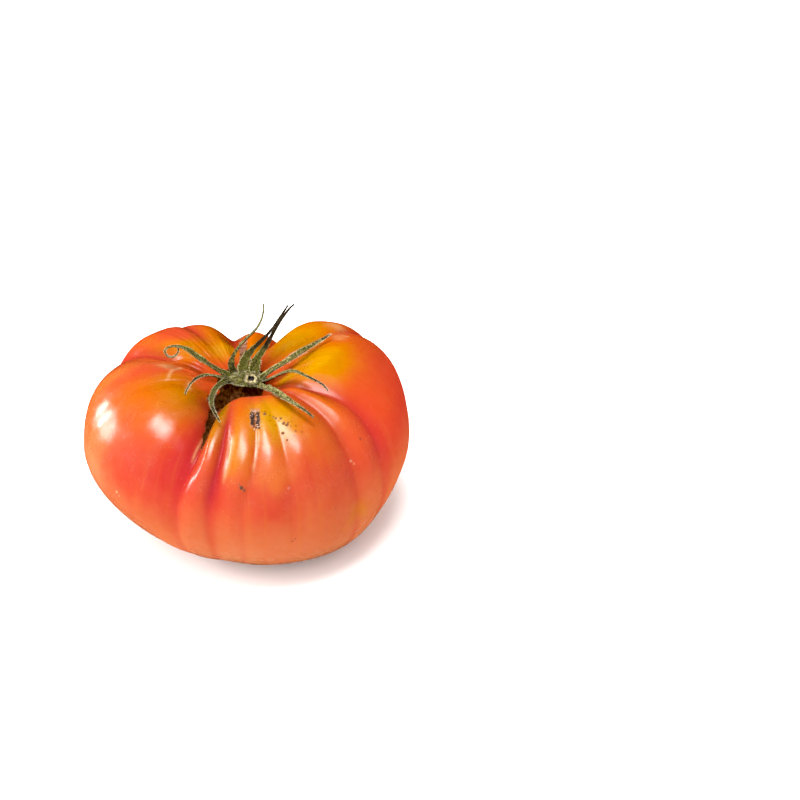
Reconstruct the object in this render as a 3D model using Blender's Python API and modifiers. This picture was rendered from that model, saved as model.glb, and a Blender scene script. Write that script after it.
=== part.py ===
"""Raf tomato: a flattened, deeply ribbed beefsteak fruit standing upright on
its blossom end, with the dry stub of its stalk, the calyx plate and nine
narrow sepals still on top.

The design tables below are in millimetres and degrees.  MM turns millimetres
into metres.  Azimuths run round the fruit seen from above: 0 is the front
(-Y), 90 the right side (+X), 180 the back, -90 the left side.
"""
import math

import bmesh
import bpy
import numpy as np

MM = 0.001
ASSEMBLY = "raf_tomato"

# ---------------------------------------------------------------- the fruit
# A fruit section runs from the middle of the stalk cavity (station 0) over
# the cavity wall (1), the crest of the shoulder (2), the equator (3) and the
# edge of the flat it rests on (4) to the middle of the underside (5).
#
# lobe: azimuth, equator radius, crest radius, crest height, equator height,
#       radius of the flat underneath, fullness of the lower quarter, height
#       of the ring at the foot of the cavity wall, how gently the wall rises
LOBES = (
    (-13, 43.8, 19.0, 47.8, 25.0, 12.0, 0.55, 41.6, 0.0),   # front rib 1, beside the cleft
    (2, 44.8, 17.5, 48.8, 25.0, 13.0, 0.55, 41.6, 0.0),   # front rib 2
    (15, 45.3, 17.8, 49.0, 25.0, 15.0, 0.57, 41.6, 0.0),   # front rib 3
    (32, 46.0, 19.0, 49.3, 25.0, 16.5, 0.61, 41.8, 0.0),   # front rib 4, the broad one
    (54, 45.2, 20.5, 50.0, 26.0, 20.0, 0.60, 43.6, 0.4),   # narrow right rib
    (94, 45.8, 26.0, 54.0, 27.0, 15.5, 0.50, 45.8, 1.0),   # right lobe
    (141, 46.5, 25.5, 50.0, 27.0, 16.0, 0.61, 45.8, 1.0),   # back right lobe
    (175, 38.5, 19.0, 45.8, 27.0, 13.0, 0.60, 45.2, 0.6),   # small back lobe
    (202, 42.5, 23.0, 49.0, 27.0, 13.0, 0.58, 45.8, 1.0),   # back left lobe, inner
    (231, 45.2, 24.0, 49.5, 27.0, 11.0, 0.54, 46.0, 1.0),   # back left lobe, outer
    (291, 45.0, 22.5, 49.0, 26.5, 9.0, 0.46, 44.6, 0.5),   # big left lobe
)
# groove: azimuth at the wall, crest, shoulder and equator; half width to the
#         left and to the right; depth at the wall, crest, shoulder, equator
#         and low down
GROOVES = (
    ((-26, -22, -19.5, -23), 30, 7, (3.0, 4.9, 4.4, 1.7, 0.1)),   # deep cleft
    ((-19, -19, -17, -16), 9, 15, (1.8, 3.2, 1.4, 0.1, 0.0)),   # lowers the corner of rib 1
    ((-6.5, -6, -7, -10), 7, 10, (0.0, 0.5, 2.5, 1.0, 0.1)),
    ((11, 11, 8.5, 2), 6, 6, (0.0, 0.1, 0.9, 0.2, 0.0)),
    ((21, 21, 20.5, 19), 7, 8, (0.0, 0.1, 0.8, 0.3, 0.0)),
    ((40, 44, 46, 45), 12, 9, (0.6, 1.2, 1.5, 0.5, 0.0)),
    ((52, 55, 61, 60), 9, 16, (0.8, 1.5, 1.3, 0.4, 0.0)),
    ((100, 115, 123, 123), 24, 14, (1.0, 0.8, 1.6, 0.5, 0.0)),
    ((160, 162, 163, 163), 18, 15, (1.0, 5.2, 4.8, 1.4, 0.1)),
    ((190, 190, 190, 190), 16, 28, (1.0, 4.5, 4.6, 1.5, 0.1)),
    ((215, 215, 215, 215), 15, 10, (1.0, 2.0, 1.0, 1.0, 0.1)),
    ((250, 247, 246, 246), 14, 27, (1.0, 4.2, 3.0, 1.8, 0.1)),
    ((296, 292, 288, 284), 14, 14, (1.2, 0.9, 0.2, 0.0, 0.0)),
)
GROOVE_STATIONS = (0.0, 0.6, 1.0, 1.6, 2.0, 2.45, 3.0, 3.55, 4.0, 5.0)
GROOVE_ROUND = 0.10             # blunts the bottom of every groove
BOSS_HEIGHT = 45.6              # corky boss under the calyx
BOSS_RADIUS = 4.5
MOAT_RADIUS = 7.6               # lowest ring of the stalk cavity
CAVITY_SHIFT = (-0.4, -2.0)     # the cavity sits a little towards the front
CREST_ROUND = 0.42
SHOULDER_ROUND = 0.56
FLANK_ROUND = 0.60
FRUIT_SEGMENTS = 96             # round the fruit
RINGS = (4, 8, 11, 11, 4)       # rings in each of the five section parts

# ---------------------------------------------------------------- the calyx
PLATE_CENTRE = (0.7, -3.3)
PLATE_RADII = (3.9, 3.5)
PLATE_TOP = 47.1
PLATE_THICKNESS = 1.0
STUB_CENTRE = (2.3, -5.2)
STUB_RADIUS = 2.2
STUB_BORE = 0.8
STUB_HEIGHT = 0.9
STUB_BORE_DEPTH = 0.6
STUB_TILT = 4.0                 # degrees towards the front
CLEAR = 0.3                     # gap left between pieces that touch
SEPAL_THICKNESS = 0.5
SEPAL_TIP = 0.5                 # least width of a sepal, at its tip
# sepal: name, foot, length, width, bearing along it, pitch along it
SEPALS = (
    ("sepal_left_curled", (-4.0, -2.5, 47.0), 26.5, 1.7,
     (-104, -82, -77, -87, -112, -125, -133, -106, -74, -73, 44, 122, 161),
     (26, 38, 41, 39, 25, 17, 15, 18, 11, -18, -43, 2, 13)),
    ("sepal_left_thin", (-4.6, -4.3, 47.0), 20.0, 1.1,
     (-61, -44, -35, -37, -37, -26, -16, -9),
     (35, 36, 32, 21, 5, -3, -7, -14)),
    ("sepal_front_left", (-4.0, -5.6, 47.0), 24.0, 1.5,
     (-35, -20, -11, -8, -3, 5, 28, 45),
     (20, 17, 13, 8, 4, -3, -21, -44)),
    ("sepal_rear_thin", (-3.0, -0.3, 47.5), 21.5, 1.5,
     (219, 152, 122, 112, 103, 125, 162, 187),
     (56, 49, 48, 44, 39, 49, 52, 55)),
    ("sepal_rear_left", (0.0, 0.6, 47.5), 22.0, 2.3,
     (184, 139, 118, 119, 125, 124, 109),
     (41, 35, 35, 38, 44, 54, 52)),
    ("sepal_rear_right", (3.0, 0.2, 47.5), 21.5, 2.3,
     (177, 132, 128, 133, 126, 115, 97),
     (50, 38, 47, 54, 49, 51, 45)),
    ("sepal_right_long", (5.0, -4.0, 47.0), 25.0, 1.9,
     (103, 92, 108, 130, 129, 133, 153),
     (43, 34, 25, 15, 10, 6, -5)),
    ("sepal_right_arched", (6.0, -5.0, 47.0), 25.0, 1.2,
     (44, 57, 67, 55, 39, 52, 62, 28),
     (33, 38, 36, 20, 5, -2, -13, -28)),
    ("sepal_front_right", (4.5, -7.5, 47.0), 27.0, 1.9,
     (32, 28, 28, 33, 39, 55, 72),
     (20, 20, 15, 8, 2, -12, -42)),
)
SEPAL_STEPS = 26
SEPAL_TAPER = ((0.0, 0.60), (0.12, 1.0), (0.35, 0.95), (0.65, 0.62),
               (0.85, 0.36), (1.0, 0.20))

# The flat underneath is at height 0 and the fruit is centred on the Z axis.


def hermite(s, knots, values):
    """Smooth curve through the knots that never overshoots them."""
    k = np.asarray(knots, float)
    v = np.asarray(values, float)
    slope = np.gradient(v, k)
    for i in range(1, len(v) - 1):
        if (v[i] - v[i - 1]) * (v[i + 1] - v[i]) <= 0.0:
            slope[i] = 0.0
    slope[0] = slope[-1] = 0.0
    c = np.clip(s, k[0], k[-1])
    i = np.clip(np.searchsorted(k, c, side="right") - 1, 0, len(k) - 2)
    h = k[i + 1] - k[i]
    t = (c - k[i]) / h
    return ((2 * t ** 3 - 3 * t ** 2 + 1) * v[i]
            + (t ** 3 - 2 * t ** 2 + t) * h * slope[i]
            + (3 * t ** 2 - 2 * t ** 3) * v[i + 1]
            + (t ** 3 - t ** 2) * h * slope[i + 1])


def around(column, azimuth):
    """A lobe value blended smoothly from lobe to lobe round the fruit."""
    az = np.array([lobe[0] for lobe in LOBES], float) % 360.0
    order = np.argsort(az)
    az = az[order]
    val = np.array([lobe[column] for lobe in LOBES], float)[order]
    az = np.concatenate([az - 360.0, az, az + 360.0])
    val = np.tile(val, 3)
    slope = np.gradient(val, az)
    p = np.mod(azimuth, 360.0)
    i = np.searchsorted(az, p, side="right") - 1
    h = az[i + 1] - az[i]
    t = (p - az[i]) / h
    return ((2 * t ** 3 - 3 * t ** 2 + 1) * val[i]
            + (t ** 3 - 2 * t ** 2 + t) * h * slope[i]
            + (3 * t ** 2 - 2 * t ** 3) * val[i + 1]
            + (t ** 3 - t ** 2) * h * slope[i + 1])


def bezier(a, b, c, d, t):
    u = 1.0 - t
    return u ** 3 * a + 3 * u * u * t * b + 3 * u * t * t * c + t ** 3 * d


def section(azimuth, s):
    """Radius and height of the ungrooved fruit at section station s."""
    R, rc, zc, ze, rb, kl, mh, gentle = [around(c, azimuth) for c in range(1, 9)]
    o = np.ones_like(R)
    bh, br, mr = BOSS_HEIGHT * o, BOSS_RADIUS * o, MOAT_RADIUS * o
    gentle = np.clip(gentle, 0, 1)
    foot = 2.6 * (1 - gentle) + 0.36 * gentle * (rc - mr)
    zero = 0.0 * o
    parts = (
        ((zero, bh), (br, bh), (br + 0.6, mh), (mr, mh)),
        ((mr, mh), (mr + foot, mh + 0.42 * gentle * (zc - mh)),
         (rc - (CREST_ROUND + 0.05 * gentle) * (rc - mr), zc), (rc, zc)),
        ((rc, zc), (rc + SHOULDER_ROUND * (R - rc), zc),
         (R, ze + FLANK_ROUND * (zc - ze)), (R, ze)),
        ((R, ze), (R, ze - kl * ze), (rb + kl * (R - rb), zero), (rb, zero)),
        ((rb, zero), (rb * 0.66, zero), (rb * 0.33, zero), (zero, zero)),
    )
    i = np.clip(np.floor(s), 0, 4)
    t = s - i
    r, z = zero.copy(), zero.copy()
    for k, (a, b, c, d) in enumerate(parts):
        here = i == k
        r = np.where(here, bezier(a[0], b[0], c[0], d[0], t), r)
        z = np.where(here, bezier(a[1], b[1], c[1], d[1], t), z)
    return r, z


def groove_depth(azimuth, s):
    depth = np.zeros_like(s)
    for path, left, right, (wall, crest, shoulder, equator, low) in GROOVES:
        along = hermite(s, GROOVE_STATIONS,
                        (0, 0, 0.3 * wall, wall, crest, shoulder, equator, low, 0, 0))
        centre = hermite(s, (1.5, 2.0, 2.45, 3.0), path)
        x = (azimuth - centre + 180.0) % 360.0 - 180.0
        x = np.where(x < 0, -x / left, x / right)
        across = np.clip(1.0 - np.sqrt(x * x + GROOVE_ROUND ** 2), 0, None)
        depth = depth + along * (across / (1.0 - GROOVE_ROUND)) ** 2
    return depth


def fruit_points(azimuth, s):
    """Skin of the fruit, in millimetres, for arrays of azimuth and station."""
    r, z = section(azimuth, s)
    e = 0.02
    r1, z1 = section(azimuth, np.clip(s + e, 0, 5))
    r0, z0 = section(azimuth, np.clip(s - e, 0, 5))
    dr, dz = r1 - r0, z1 - z0
    ln = np.hypot(dr, dz) + 1e-9
    depth = groove_depth(azimuth, s)
    r = np.maximum(r + depth * dz / ln, 0.0)
    z = z - depth * dr / ln
    a = np.radians(azimuth)
    k = 1.0 - hermite(s, (1.0, 2.3), (0.0, 1.0))
    return np.stack([r * np.sin(a) + CAVITY_SHIFT[0] * k,
                     -r * np.cos(a) + CAVITY_SHIFT[1] * k, z], -1)


def sepal_path(foot, length, bearing, pitch, steps):
    """Middle line of a sepal, walked along its bearings and pitches."""
    u = (np.arange(steps) + 0.5) / steps
    b = np.radians(np.interp(u, np.linspace(0, 1, len(bearing)), bearing))
    p = np.radians(np.interp(u, np.linspace(0, 1, len(pitch)), pitch))
    step = np.stack([np.sin(b) * np.cos(p), -np.cos(b) * np.cos(p), np.sin(p)], -1)
    line = np.vstack([foot, np.asarray(foot) + np.cumsum(step, 0) * length / steps])
    return line


# ----------------------------------------------------------------- Blender
def clear_scene():
    for obj in list(bpy.data.objects):
        bpy.data.objects.remove(obj, do_unlink=True)
    for block in (bpy.data.meshes, bpy.data.materials, bpy.data.collections):
        for item in list(block):
            block.remove(item)


def material(name, colour, roughness, coat=0.0):
    mat = bpy.data.materials.new(name)
    mat.use_nodes = True
    shader = mat.node_tree.nodes["Principled BSDF"]
    shader.inputs["Base Color"].default_value = (*colour, 1.0)
    shader.inputs["Roughness"].default_value = roughness
    shader.inputs["Coat Weight"].default_value = coat
    mat.diffuse_color = (*colour, 1.0)
    return mat


def place(name, bm, mat, home):
    bmesh.ops.recalc_face_normals(bm, faces=bm.faces)
    mesh = bpy.data.meshes.new(name)
    bm.to_mesh(mesh)
    bm.free()
    for face in mesh.polygons:
        face.use_smooth = True
    obj = bpy.data.objects.new(name, mesh)
    obj.data.materials.append(mat)
    home.objects.link(obj)
    return obj


def make_fruit(home, mat):
    bm = bmesh.new()
    rows = sum(RINGS)
    bmesh.ops.create_uvsphere(bm, u_segments=FRUIT_SEGMENTS, v_segments=rows, radius=1.0)
    bm.verts.ensure_lookup_table()
    co = np.array([v.co[:] for v in bm.verts])
    polar = np.arccos(np.clip(co[:, 2], -1.0, 1.0))
    row = np.round(polar / math.pi * rows)
    azimuth = np.degrees(np.arctan2(co[:, 0], -co[:, 1]))
    station = np.interp(row, np.concatenate([[0], np.cumsum(RINGS)]), np.arange(6))
    pts = fruit_points(azimuth, station)
    mid = 0.5 * (pts.max(0) + pts.min(0))
    for vert, p in zip(bm.verts, pts):
        vert.co = ((p[0] - mid[0]) * MM, (p[1] - mid[1]) * MM, p[2] * MM)
    obj = place("fruit", bm, mat, home)
    return obj, (mid[0], mid[1])


def turned(name, profile, mat, home, location, steps=36):
    """A body of revolution from its outer side, listed from top to bottom."""
    mesh = bpy.data.meshes.new(name)
    verts = [(r * MM, 0.0, z * MM) for r, z in profile]
    mesh.from_pydata(verts, [(i, i + 1) for i in range(len(verts) - 1)], [])
    obj = bpy.data.objects.new(name, mesh)
    obj.data.materials.append(mat)
    home.objects.link(obj)
    obj.location = location
    mod = obj.modifiers.new("turn", "SCREW")
    mod.axis = "Z"
    mod.angle = math.tau
    mod.steps = steps
    mod.render_steps = steps
    mod.use_merge_vertices = True
    mod.merge_threshold = 0.00001
    mod.use_smooth_shade = True
    return obj


def make_plate(home, mat, mid):
    top, bottom = PLATE_TOP, PLATE_TOP - PLATE_THICKNESS
    profile = ((0.0, top), (0.55, top), (0.85, top - 0.15), (1.0, top - 0.45),
               (0.9, bottom), (0.0, bottom))
    bm = bmesh.new()
    # a turned plate, then stretched to the oval of the calyx
    prof = [bm.verts.new((r, 0.0, z)) for r, z in profile]
    edges = [bm.edges.new((prof[i], prof[i + 1])) for i in range(len(prof) - 1)]
    bmesh.ops.spin(bm, geom=prof + edges, cent=(0, 0, 0), axis=(0, 0, 1),
                   angle=math.tau, steps=36, use_merge=True)
    bmesh.ops.remove_doubles(bm, verts=bm.verts, dist=1e-5)
    for v in bm.verts:
        v.co = ((v.co.x * PLATE_RADII[0] + PLATE_CENTRE[0] - mid[0]) * MM,
                (v.co.y * PLATE_RADII[1] + PLATE_CENTRE[1] - mid[1]) * MM,
                v.co.z * MM)
    return place("calyx_plate", bm, mat, home)


def make_stub(home, mat, mid):
    h, r = STUB_HEIGHT, STUB_RADIUS
    floor = h - STUB_BORE_DEPTH
    profile = ((0.0, floor), (STUB_BORE * 0.8, floor), (STUB_BORE, floor + 0.15),
               (STUB_BORE, h - 0.12), (STUB_BORE + 0.15, h), (r - 0.5, h),
               (r - 0.12, h - 0.15), (r, h - 0.4), (r - 0.08, 0.15), (r - 0.2, 0.0),
               (0.0, 0.0))
    lift = PLATE_TOP + CLEAR + r * math.sin(math.radians(STUB_TILT))
    obj = turned("pedicel_stub", profile, mat, home,
                 ((STUB_CENTRE[0] - mid[0]) * MM, (STUB_CENTRE[1] - mid[1]) * MM, lift * MM))
    obj.rotation_euler = (math.radians(STUB_TILT), 0.0, 0.0)
    return obj


def make_sepal(spec, home, mat, mid):
    name, foot, length, width, bearing, pitch = spec
    n = SEPAL_STEPS
    line = sepal_path(foot, length, bearing, pitch, n)
    tangent = np.gradient(line, axis=0)
    tangent /= np.linalg.norm(tangent, axis=1, keepdims=True)
    side = np.cross(tangent, (0.0, 0.0, 1.0))
    side /= np.linalg.norm(side, axis=1, keepdims=True)
    up = np.cross(side, tangent)
    u = np.linspace(0, 1, n + 1)
    half = 0.5 * np.maximum(
        width * np.interp(u, [a for a, _ in SEPAL_TAPER], [b for _, b in SEPAL_TAPER]),
        SEPAL_TIP)
    bm = bmesh.new()
    bmesh.ops.create_grid(bm, x_segments=n, y_segments=2, size=0.5)
    for v in bm.verts:
        i = int(round((v.co.x + 0.5) * n))
        j = int(round(v.co.y * 2))
        p = line[i] + side[i] * half[i] * j - up[i] * 0.25 * half[i] * (1 - abs(j))
        v.co = ((p[0] - mid[0]) * MM, (p[1] - mid[1]) * MM, p[2] * MM)
    obj = place(name, bm, mat, home)
    mod = obj.modifiers.new("blade", "SOLIDIFY")
    mod.thickness = SEPAL_THICKNESS * MM
    mod.offset = 0.0
    mod.use_rim = True
    mod.use_even_offset = False
    return obj


def main():
    clear_scene()
    home = bpy.data.collections.new(ASSEMBLY)
    bpy.context.scene.collection.children.link(home)
    skin = material("tomato_skin", (0.78, 0.13, 0.035), 0.30, 0.35)
    fruit, mid = make_fruit(home, skin)
    make_plate(home, material("calyx_plate_green", (0.20, 0.20, 0.05), 0.80), mid)
    make_stub(home, material("pedicel_straw", (0.62, 0.52, 0.24), 0.75), mid)
    greens = {
        "sepal_rear_left": (0.06, 0.05, 0.015),
        "sepal_rear_right": (0.06, 0.05, 0.015),
        "sepal_rear_thin": (0.34, 0.32, 0.14),
    }
    for spec in SEPALS:
        colour = greens.get(spec[0], (0.22, 0.25, 0.06))
        make_sepal(spec, home, material(spec[0] + "_green", colour, 0.80), mid)


main()
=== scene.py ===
"""Looks of the raf tomato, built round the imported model.

The tables are in millimetres and degrees; MM turns millimetres into metres.
Azimuths run round the fruit seen from above: 0 is the front (-Y), 90 the right
side (+X), 180 the back and -90 the left side.  A section of the fruit runs
from the middle of the stalk cavity (station 0) over the cavity wall (1), the
crest of the shoulder (2), the equator (3) and the edge of the flat (4) to the
middle of the underside (5).
"""

import math

import bpy
import numpy as np
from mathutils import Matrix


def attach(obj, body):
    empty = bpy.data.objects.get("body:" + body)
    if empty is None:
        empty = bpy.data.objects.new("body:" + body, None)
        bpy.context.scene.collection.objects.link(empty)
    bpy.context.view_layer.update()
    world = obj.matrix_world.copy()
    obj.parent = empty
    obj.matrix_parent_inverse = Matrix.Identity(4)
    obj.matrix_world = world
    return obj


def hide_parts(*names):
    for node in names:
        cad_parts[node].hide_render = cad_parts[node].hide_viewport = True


MM = 0.001
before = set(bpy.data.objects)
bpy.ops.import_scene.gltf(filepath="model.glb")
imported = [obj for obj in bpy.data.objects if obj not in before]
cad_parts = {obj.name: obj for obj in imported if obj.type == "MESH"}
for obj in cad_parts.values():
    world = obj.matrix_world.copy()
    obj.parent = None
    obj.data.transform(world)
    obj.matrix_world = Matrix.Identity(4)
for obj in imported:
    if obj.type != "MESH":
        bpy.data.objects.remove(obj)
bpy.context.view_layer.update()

# ------------------------------------------------------------------ tables
# lobe: azimuth, equator radius, crest radius, crest height, equator height,
#       radius of the flat underneath, fullness of the lower quarter, height
#       of the ring at the foot of the cavity wall, how gently the wall rises
LOBES = (
    (-13, 43.8, 19.0, 47.8, 25.0, 12.0, 0.55, 41.6, 0.0),
    (2, 44.8, 17.5, 48.8, 25.0, 13.0, 0.55, 41.6, 0.0),
    (15, 45.3, 17.8, 49.0, 25.0, 15.0, 0.57, 41.6, 0.0),
    (32, 46.0, 19.0, 49.3, 25.0, 16.5, 0.61, 41.8, 0.0),
    (54, 45.2, 20.5, 50.0, 26.0, 20.0, 0.60, 43.6, 0.4),
    (94, 45.8, 26.0, 54.0, 27.0, 15.5, 0.50, 45.8, 1.0),
    (141, 46.5, 25.5, 50.0, 27.0, 16.0, 0.61, 45.8, 1.0),
    (175, 38.5, 19.0, 45.8, 27.0, 13.0, 0.60, 45.2, 0.6),
    (202, 42.5, 23.0, 49.0, 27.0, 13.0, 0.58, 45.8, 1.0),
    (231, 45.2, 24.0, 49.5, 27.0, 11.0, 0.54, 46.0, 1.0),
    (291, 45.0, 22.5, 49.0, 26.5, 9.0, 0.46, 44.6, 0.5),
)
# groove: azimuth at the wall, crest, shoulder and equator; half width to the
#         left and right; depth at the wall, crest, shoulder, equator, low down;
#         how strongly its floor is painted crimson, partly as painted shade
GROOVES = (
    ((-26, -22, -19.5, -23), 30, 7, (3.0, 4.9, 4.4, 1.7, 0.1), 0.6),
    ((-19, -19, -17, -16), 9, 15, (1.8, 3.2, 1.4, 0.1, 0.0), 0.0),
    ((-6.5, -6, -7, -10), 7, 10, (0.0, 0.5, 2.5, 1.0, 0.1), 1.0),
    ((11, 11, 8.5, 2), 6, 6, (0.0, 0.1, 0.9, 0.2, 0.0), 0.5),
    ((21, 21, 20.5, 19), 7, 8, (0.0, 0.1, 0.8, 0.3, 0.0), 0.3),
    ((40, 44, 46, 45), 12, 9, (0.6, 1.2, 1.5, 0.5, 0.0), 0.6),
    ((52, 55, 61, 60), 9, 16, (0.8, 1.5, 1.3, 0.4, 0.0), 0.7),
    ((100, 115, 123, 123), 24, 14, (1.0, 0.8, 1.6, 0.5, 0.0), 0.7),
    ((160, 162, 163, 163), 18, 15, (1.0, 5.2, 4.8, 1.4, 0.1), 0.7),
    ((190, 190, 190, 190), 16, 28, (1.0, 4.5, 4.6, 1.5, 0.1), 0.7),
    ((215, 215, 215, 215), 15, 10, (1.0, 2.0, 1.0, 1.0, 0.1), 0.6),
    ((250, 247, 246, 246), 14, 27, (1.0, 4.2, 3.0, 1.8, 0.1), 0.8),
    ((296, 292, 288, 284), 14, 14, (1.2, 0.9, 0.2, 0.0, 0.0), 0.0),
)
GROOVE_STATIONS = (0.0, 0.6, 1.0, 1.6, 2.0, 2.45, 3.0, 3.55, 4.0, 5.0)
GROOVE_ROUND = 0.10
BOSS_HEIGHT, BOSS_RADIUS, MOAT_RADIUS = 45.6, 4.5, 7.6
CAVITY_SHIFT = (-0.4, -2.0)
CREST_ROUND, SHOULDER_ROUND, FLANK_ROUND = 0.42, 0.56, 0.60

PLATE_CENTRE = (0.7, -2.9)
PLATE_TOP = 47.1
STUB_CENTRE = (2.45, -5.25)
# sepal: piece name, foot, length, width, bearing along it, pitch along it
SEPALS = (
    ("sepal_left_curled", (-4.0, -2.5, 47.0), 28.7, 1.7,
     (-104, -82, -77, -87, -112, -125, -133, -106, -74, -73, 44, 122, 161, 225),
     (26, 38, 41, 39, 25, 17, 15, 18, 11, -18, -43, 2, 13, 40)),
    ("sepal_left_thin", (-4.6, -4.3, 47.0), 20.0, 1.1,
     (-61, -44, -35, -37, -37, -26, -16, -9),
     (35, 36, 32, 21, 5, -3, -7, -14)),
    ("sepal_front_left", (-4.0, -5.6, 47.0), 24.0, 1.5,
     (-35, -20, -11, -8, -3, 5, 28, 45),
     (20, 17, 13, 8, 4, -3, -21, -44)),
    ("sepal_rear_thin", (-3.0, -0.3, 47.5), 21.5, 1.5,
     (219, 152, 122, 112, 103, 125, 162, 187),
     (56, 49, 48, 44, 39, 49, 52, 55)),
    ("sepal_rear_left", (0.0, 0.6, 47.5), 22.0, 2.3,
     (184, 139, 118, 119, 125, 124, 109),
     (41, 35, 35, 38, 44, 54, 52)),
    ("sepal_rear_right", (3.0, 0.2, 47.5), 21.5, 2.3,
     (177, 132, 128, 133, 126, 115, 97),
     (50, 38, 47, 54, 49, 51, 45)),
    ("sepal_right_long", (5.0, -4.0, 47.0), 25.0, 1.9,
     (103, 92, 108, 130, 129, 133, 153),
     (43, 34, 25, 15, 10, 6, -5)),
    ("sepal_right_arched", (6.0, -5.0, 47.0), 25.0, 1.2,
     (44, 57, 67, 55, 39, 52, 62, 28),
     (33, 38, 36, 20, 5, -2, -13, -28)),
    ("sepal_front_right", (4.5, -7.5, 47.0), 27.0, 1.9,
     (32, 28, 28, 33, 39, 55, 72),
     (20, 20, 15, 8, 2, -12, -42)),
)


# ------------------------------------------------------------------- noise
def lattice(ix, iy, iz, seed):
    h = (ix * 374761393 + iy * 668265263 + iz * 1274126177 + seed * 974634777) & 0xFFFFFFFF
    h = ((h ^ (h >> 13)) * 1274126177) & 0xFFFFFFFF
    h = h ^ (h >> 16)
    return (h & 0xFFFF) / 32767.5 - 1.0


def noise(p, size, seed=0):
    """Smooth noise from -1 to 1 with features of about the given size."""
    q = np.asarray(p, float) / size + 1000.0
    i = np.floor(q).astype(np.int64)
    f = q - i
    f = f * f * (3 - 2 * f)
    out = 0.0
    for dx in (0, 1):
        for dy in (0, 1):
            for dz in (0, 1):
                w = (np.where(dx, f[..., 0], 1 - f[..., 0])
                     * np.where(dy, f[..., 1], 1 - f[..., 1])
                     * np.where(dz, f[..., 2], 1 - f[..., 2]))
                out = out + w * lattice(i[..., 0] + dx, i[..., 1] + dy, i[..., 2] + dz, seed)
    return out


def fbm(p, size, seed=0, octaves=3):
    return sum(noise(p, size / 2 ** k, seed + 17 * k) / 2 ** k for k in range(octaves))


# ------------------------------------------------------- shape of the fruit
def hermite(s, knots, values):
    k = np.asarray(knots, float)
    v = np.asarray(values, float)
    slope = np.gradient(v, k)
    for i in range(1, len(v) - 1):
        if (v[i] - v[i - 1]) * (v[i + 1] - v[i]) <= 0.0:
            slope[i] = 0.0
    slope[0] = slope[-1] = 0.0
    c = np.clip(s, k[0], k[-1])
    i = np.clip(np.searchsorted(k, c, side="right") - 1, 0, len(k) - 2)
    h = k[i + 1] - k[i]
    t = (c - k[i]) / h
    return ((2 * t ** 3 - 3 * t ** 2 + 1) * v[i]
            + (t ** 3 - 2 * t ** 2 + t) * h * slope[i]
            + (3 * t ** 2 - 2 * t ** 3) * v[i + 1]
            + (t ** 3 - t ** 2) * h * slope[i + 1])


def around(column, azimuth):
    az = np.array([lobe[0] for lobe in LOBES], float) % 360.0
    order = np.argsort(az)
    az = az[order]
    val = np.array([lobe[column] for lobe in LOBES], float)[order]
    az = np.concatenate([az - 360.0, az, az + 360.0])
    val = np.tile(val, 3)
    slope = np.gradient(val, az)
    p = np.mod(azimuth, 360.0)
    i = np.searchsorted(az, p, side="right") - 1
    h = az[i + 1] - az[i]
    t = (p - az[i]) / h
    return ((2 * t ** 3 - 3 * t ** 2 + 1) * val[i]
            + (t ** 3 - 2 * t ** 2 + t) * h * slope[i]
            + (3 * t ** 2 - 2 * t ** 3) * val[i + 1]
            + (t ** 3 - t ** 2) * h * slope[i + 1])


def bezier(a, b, c, d, t):
    u = 1.0 - t
    return u ** 3 * a + 3 * u * u * t * b + 3 * u * t * t * c + t ** 3 * d


def section(azimuth, s):
    R, rc, zc, ze, rb, kl, mh, gentle = [around(c, azimuth) for c in range(1, 9)]
    o = np.ones_like(R)
    bh, br, mr = BOSS_HEIGHT * o, BOSS_RADIUS * o, MOAT_RADIUS * o
    gentle = np.clip(gentle, 0, 1)
    foot = 2.6 * (1 - gentle) + 0.36 * gentle * (rc - mr)
    zero = 0.0 * o
    parts = (
        ((zero, bh), (br, bh), (br + 0.6, mh), (mr, mh)),
        ((mr, mh), (mr + foot, mh + 0.42 * gentle * (zc - mh)),
         (rc - (CREST_ROUND + 0.05 * gentle) * (rc - mr), zc), (rc, zc)),
        ((rc, zc), (rc + SHOULDER_ROUND * (R - rc), zc),
         (R, ze + FLANK_ROUND * (zc - ze)), (R, ze)),
        ((R, ze), (R, ze - kl * ze), (rb + kl * (R - rb), zero), (rb, zero)),
        ((rb, zero), (rb * 0.66, zero), (rb * 0.33, zero), (zero, zero)),
    )
    i = np.clip(np.floor(s), 0, 4)
    t = s - i
    r, z = zero.copy(), zero.copy()
    for k, (a, b, c, d) in enumerate(parts):
        here = i == k
        r = np.where(here, bezier(a[0], b[0], c[0], d[0], t), r)
        z = np.where(here, bezier(a[1], b[1], c[1], d[1], t), z)
    return r, z


def groove_parts(azimuth, s):
    """Depth of each groove on its own."""
    out = []
    for path, left, right, (wall, crest, shoulder, equator, low), _ in GROOVES:
        along = hermite(s, GROOVE_STATIONS,
                        (0, 0, 0.3 * wall, wall, crest, shoulder, equator, low, 0, 0))
        centre = hermite(s, (1.5, 2.0, 2.45, 3.0), path)
        x = (azimuth - centre + 180.0) % 360.0 - 180.0
        x = np.where(x < 0, -x / left, x / right)
        across = np.clip(1.0 - np.sqrt(x * x + GROOVE_ROUND ** 2), 0, None)
        out.append((along, (across / (1.0 - GROOVE_ROUND)) ** 2, x))
    return out


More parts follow.
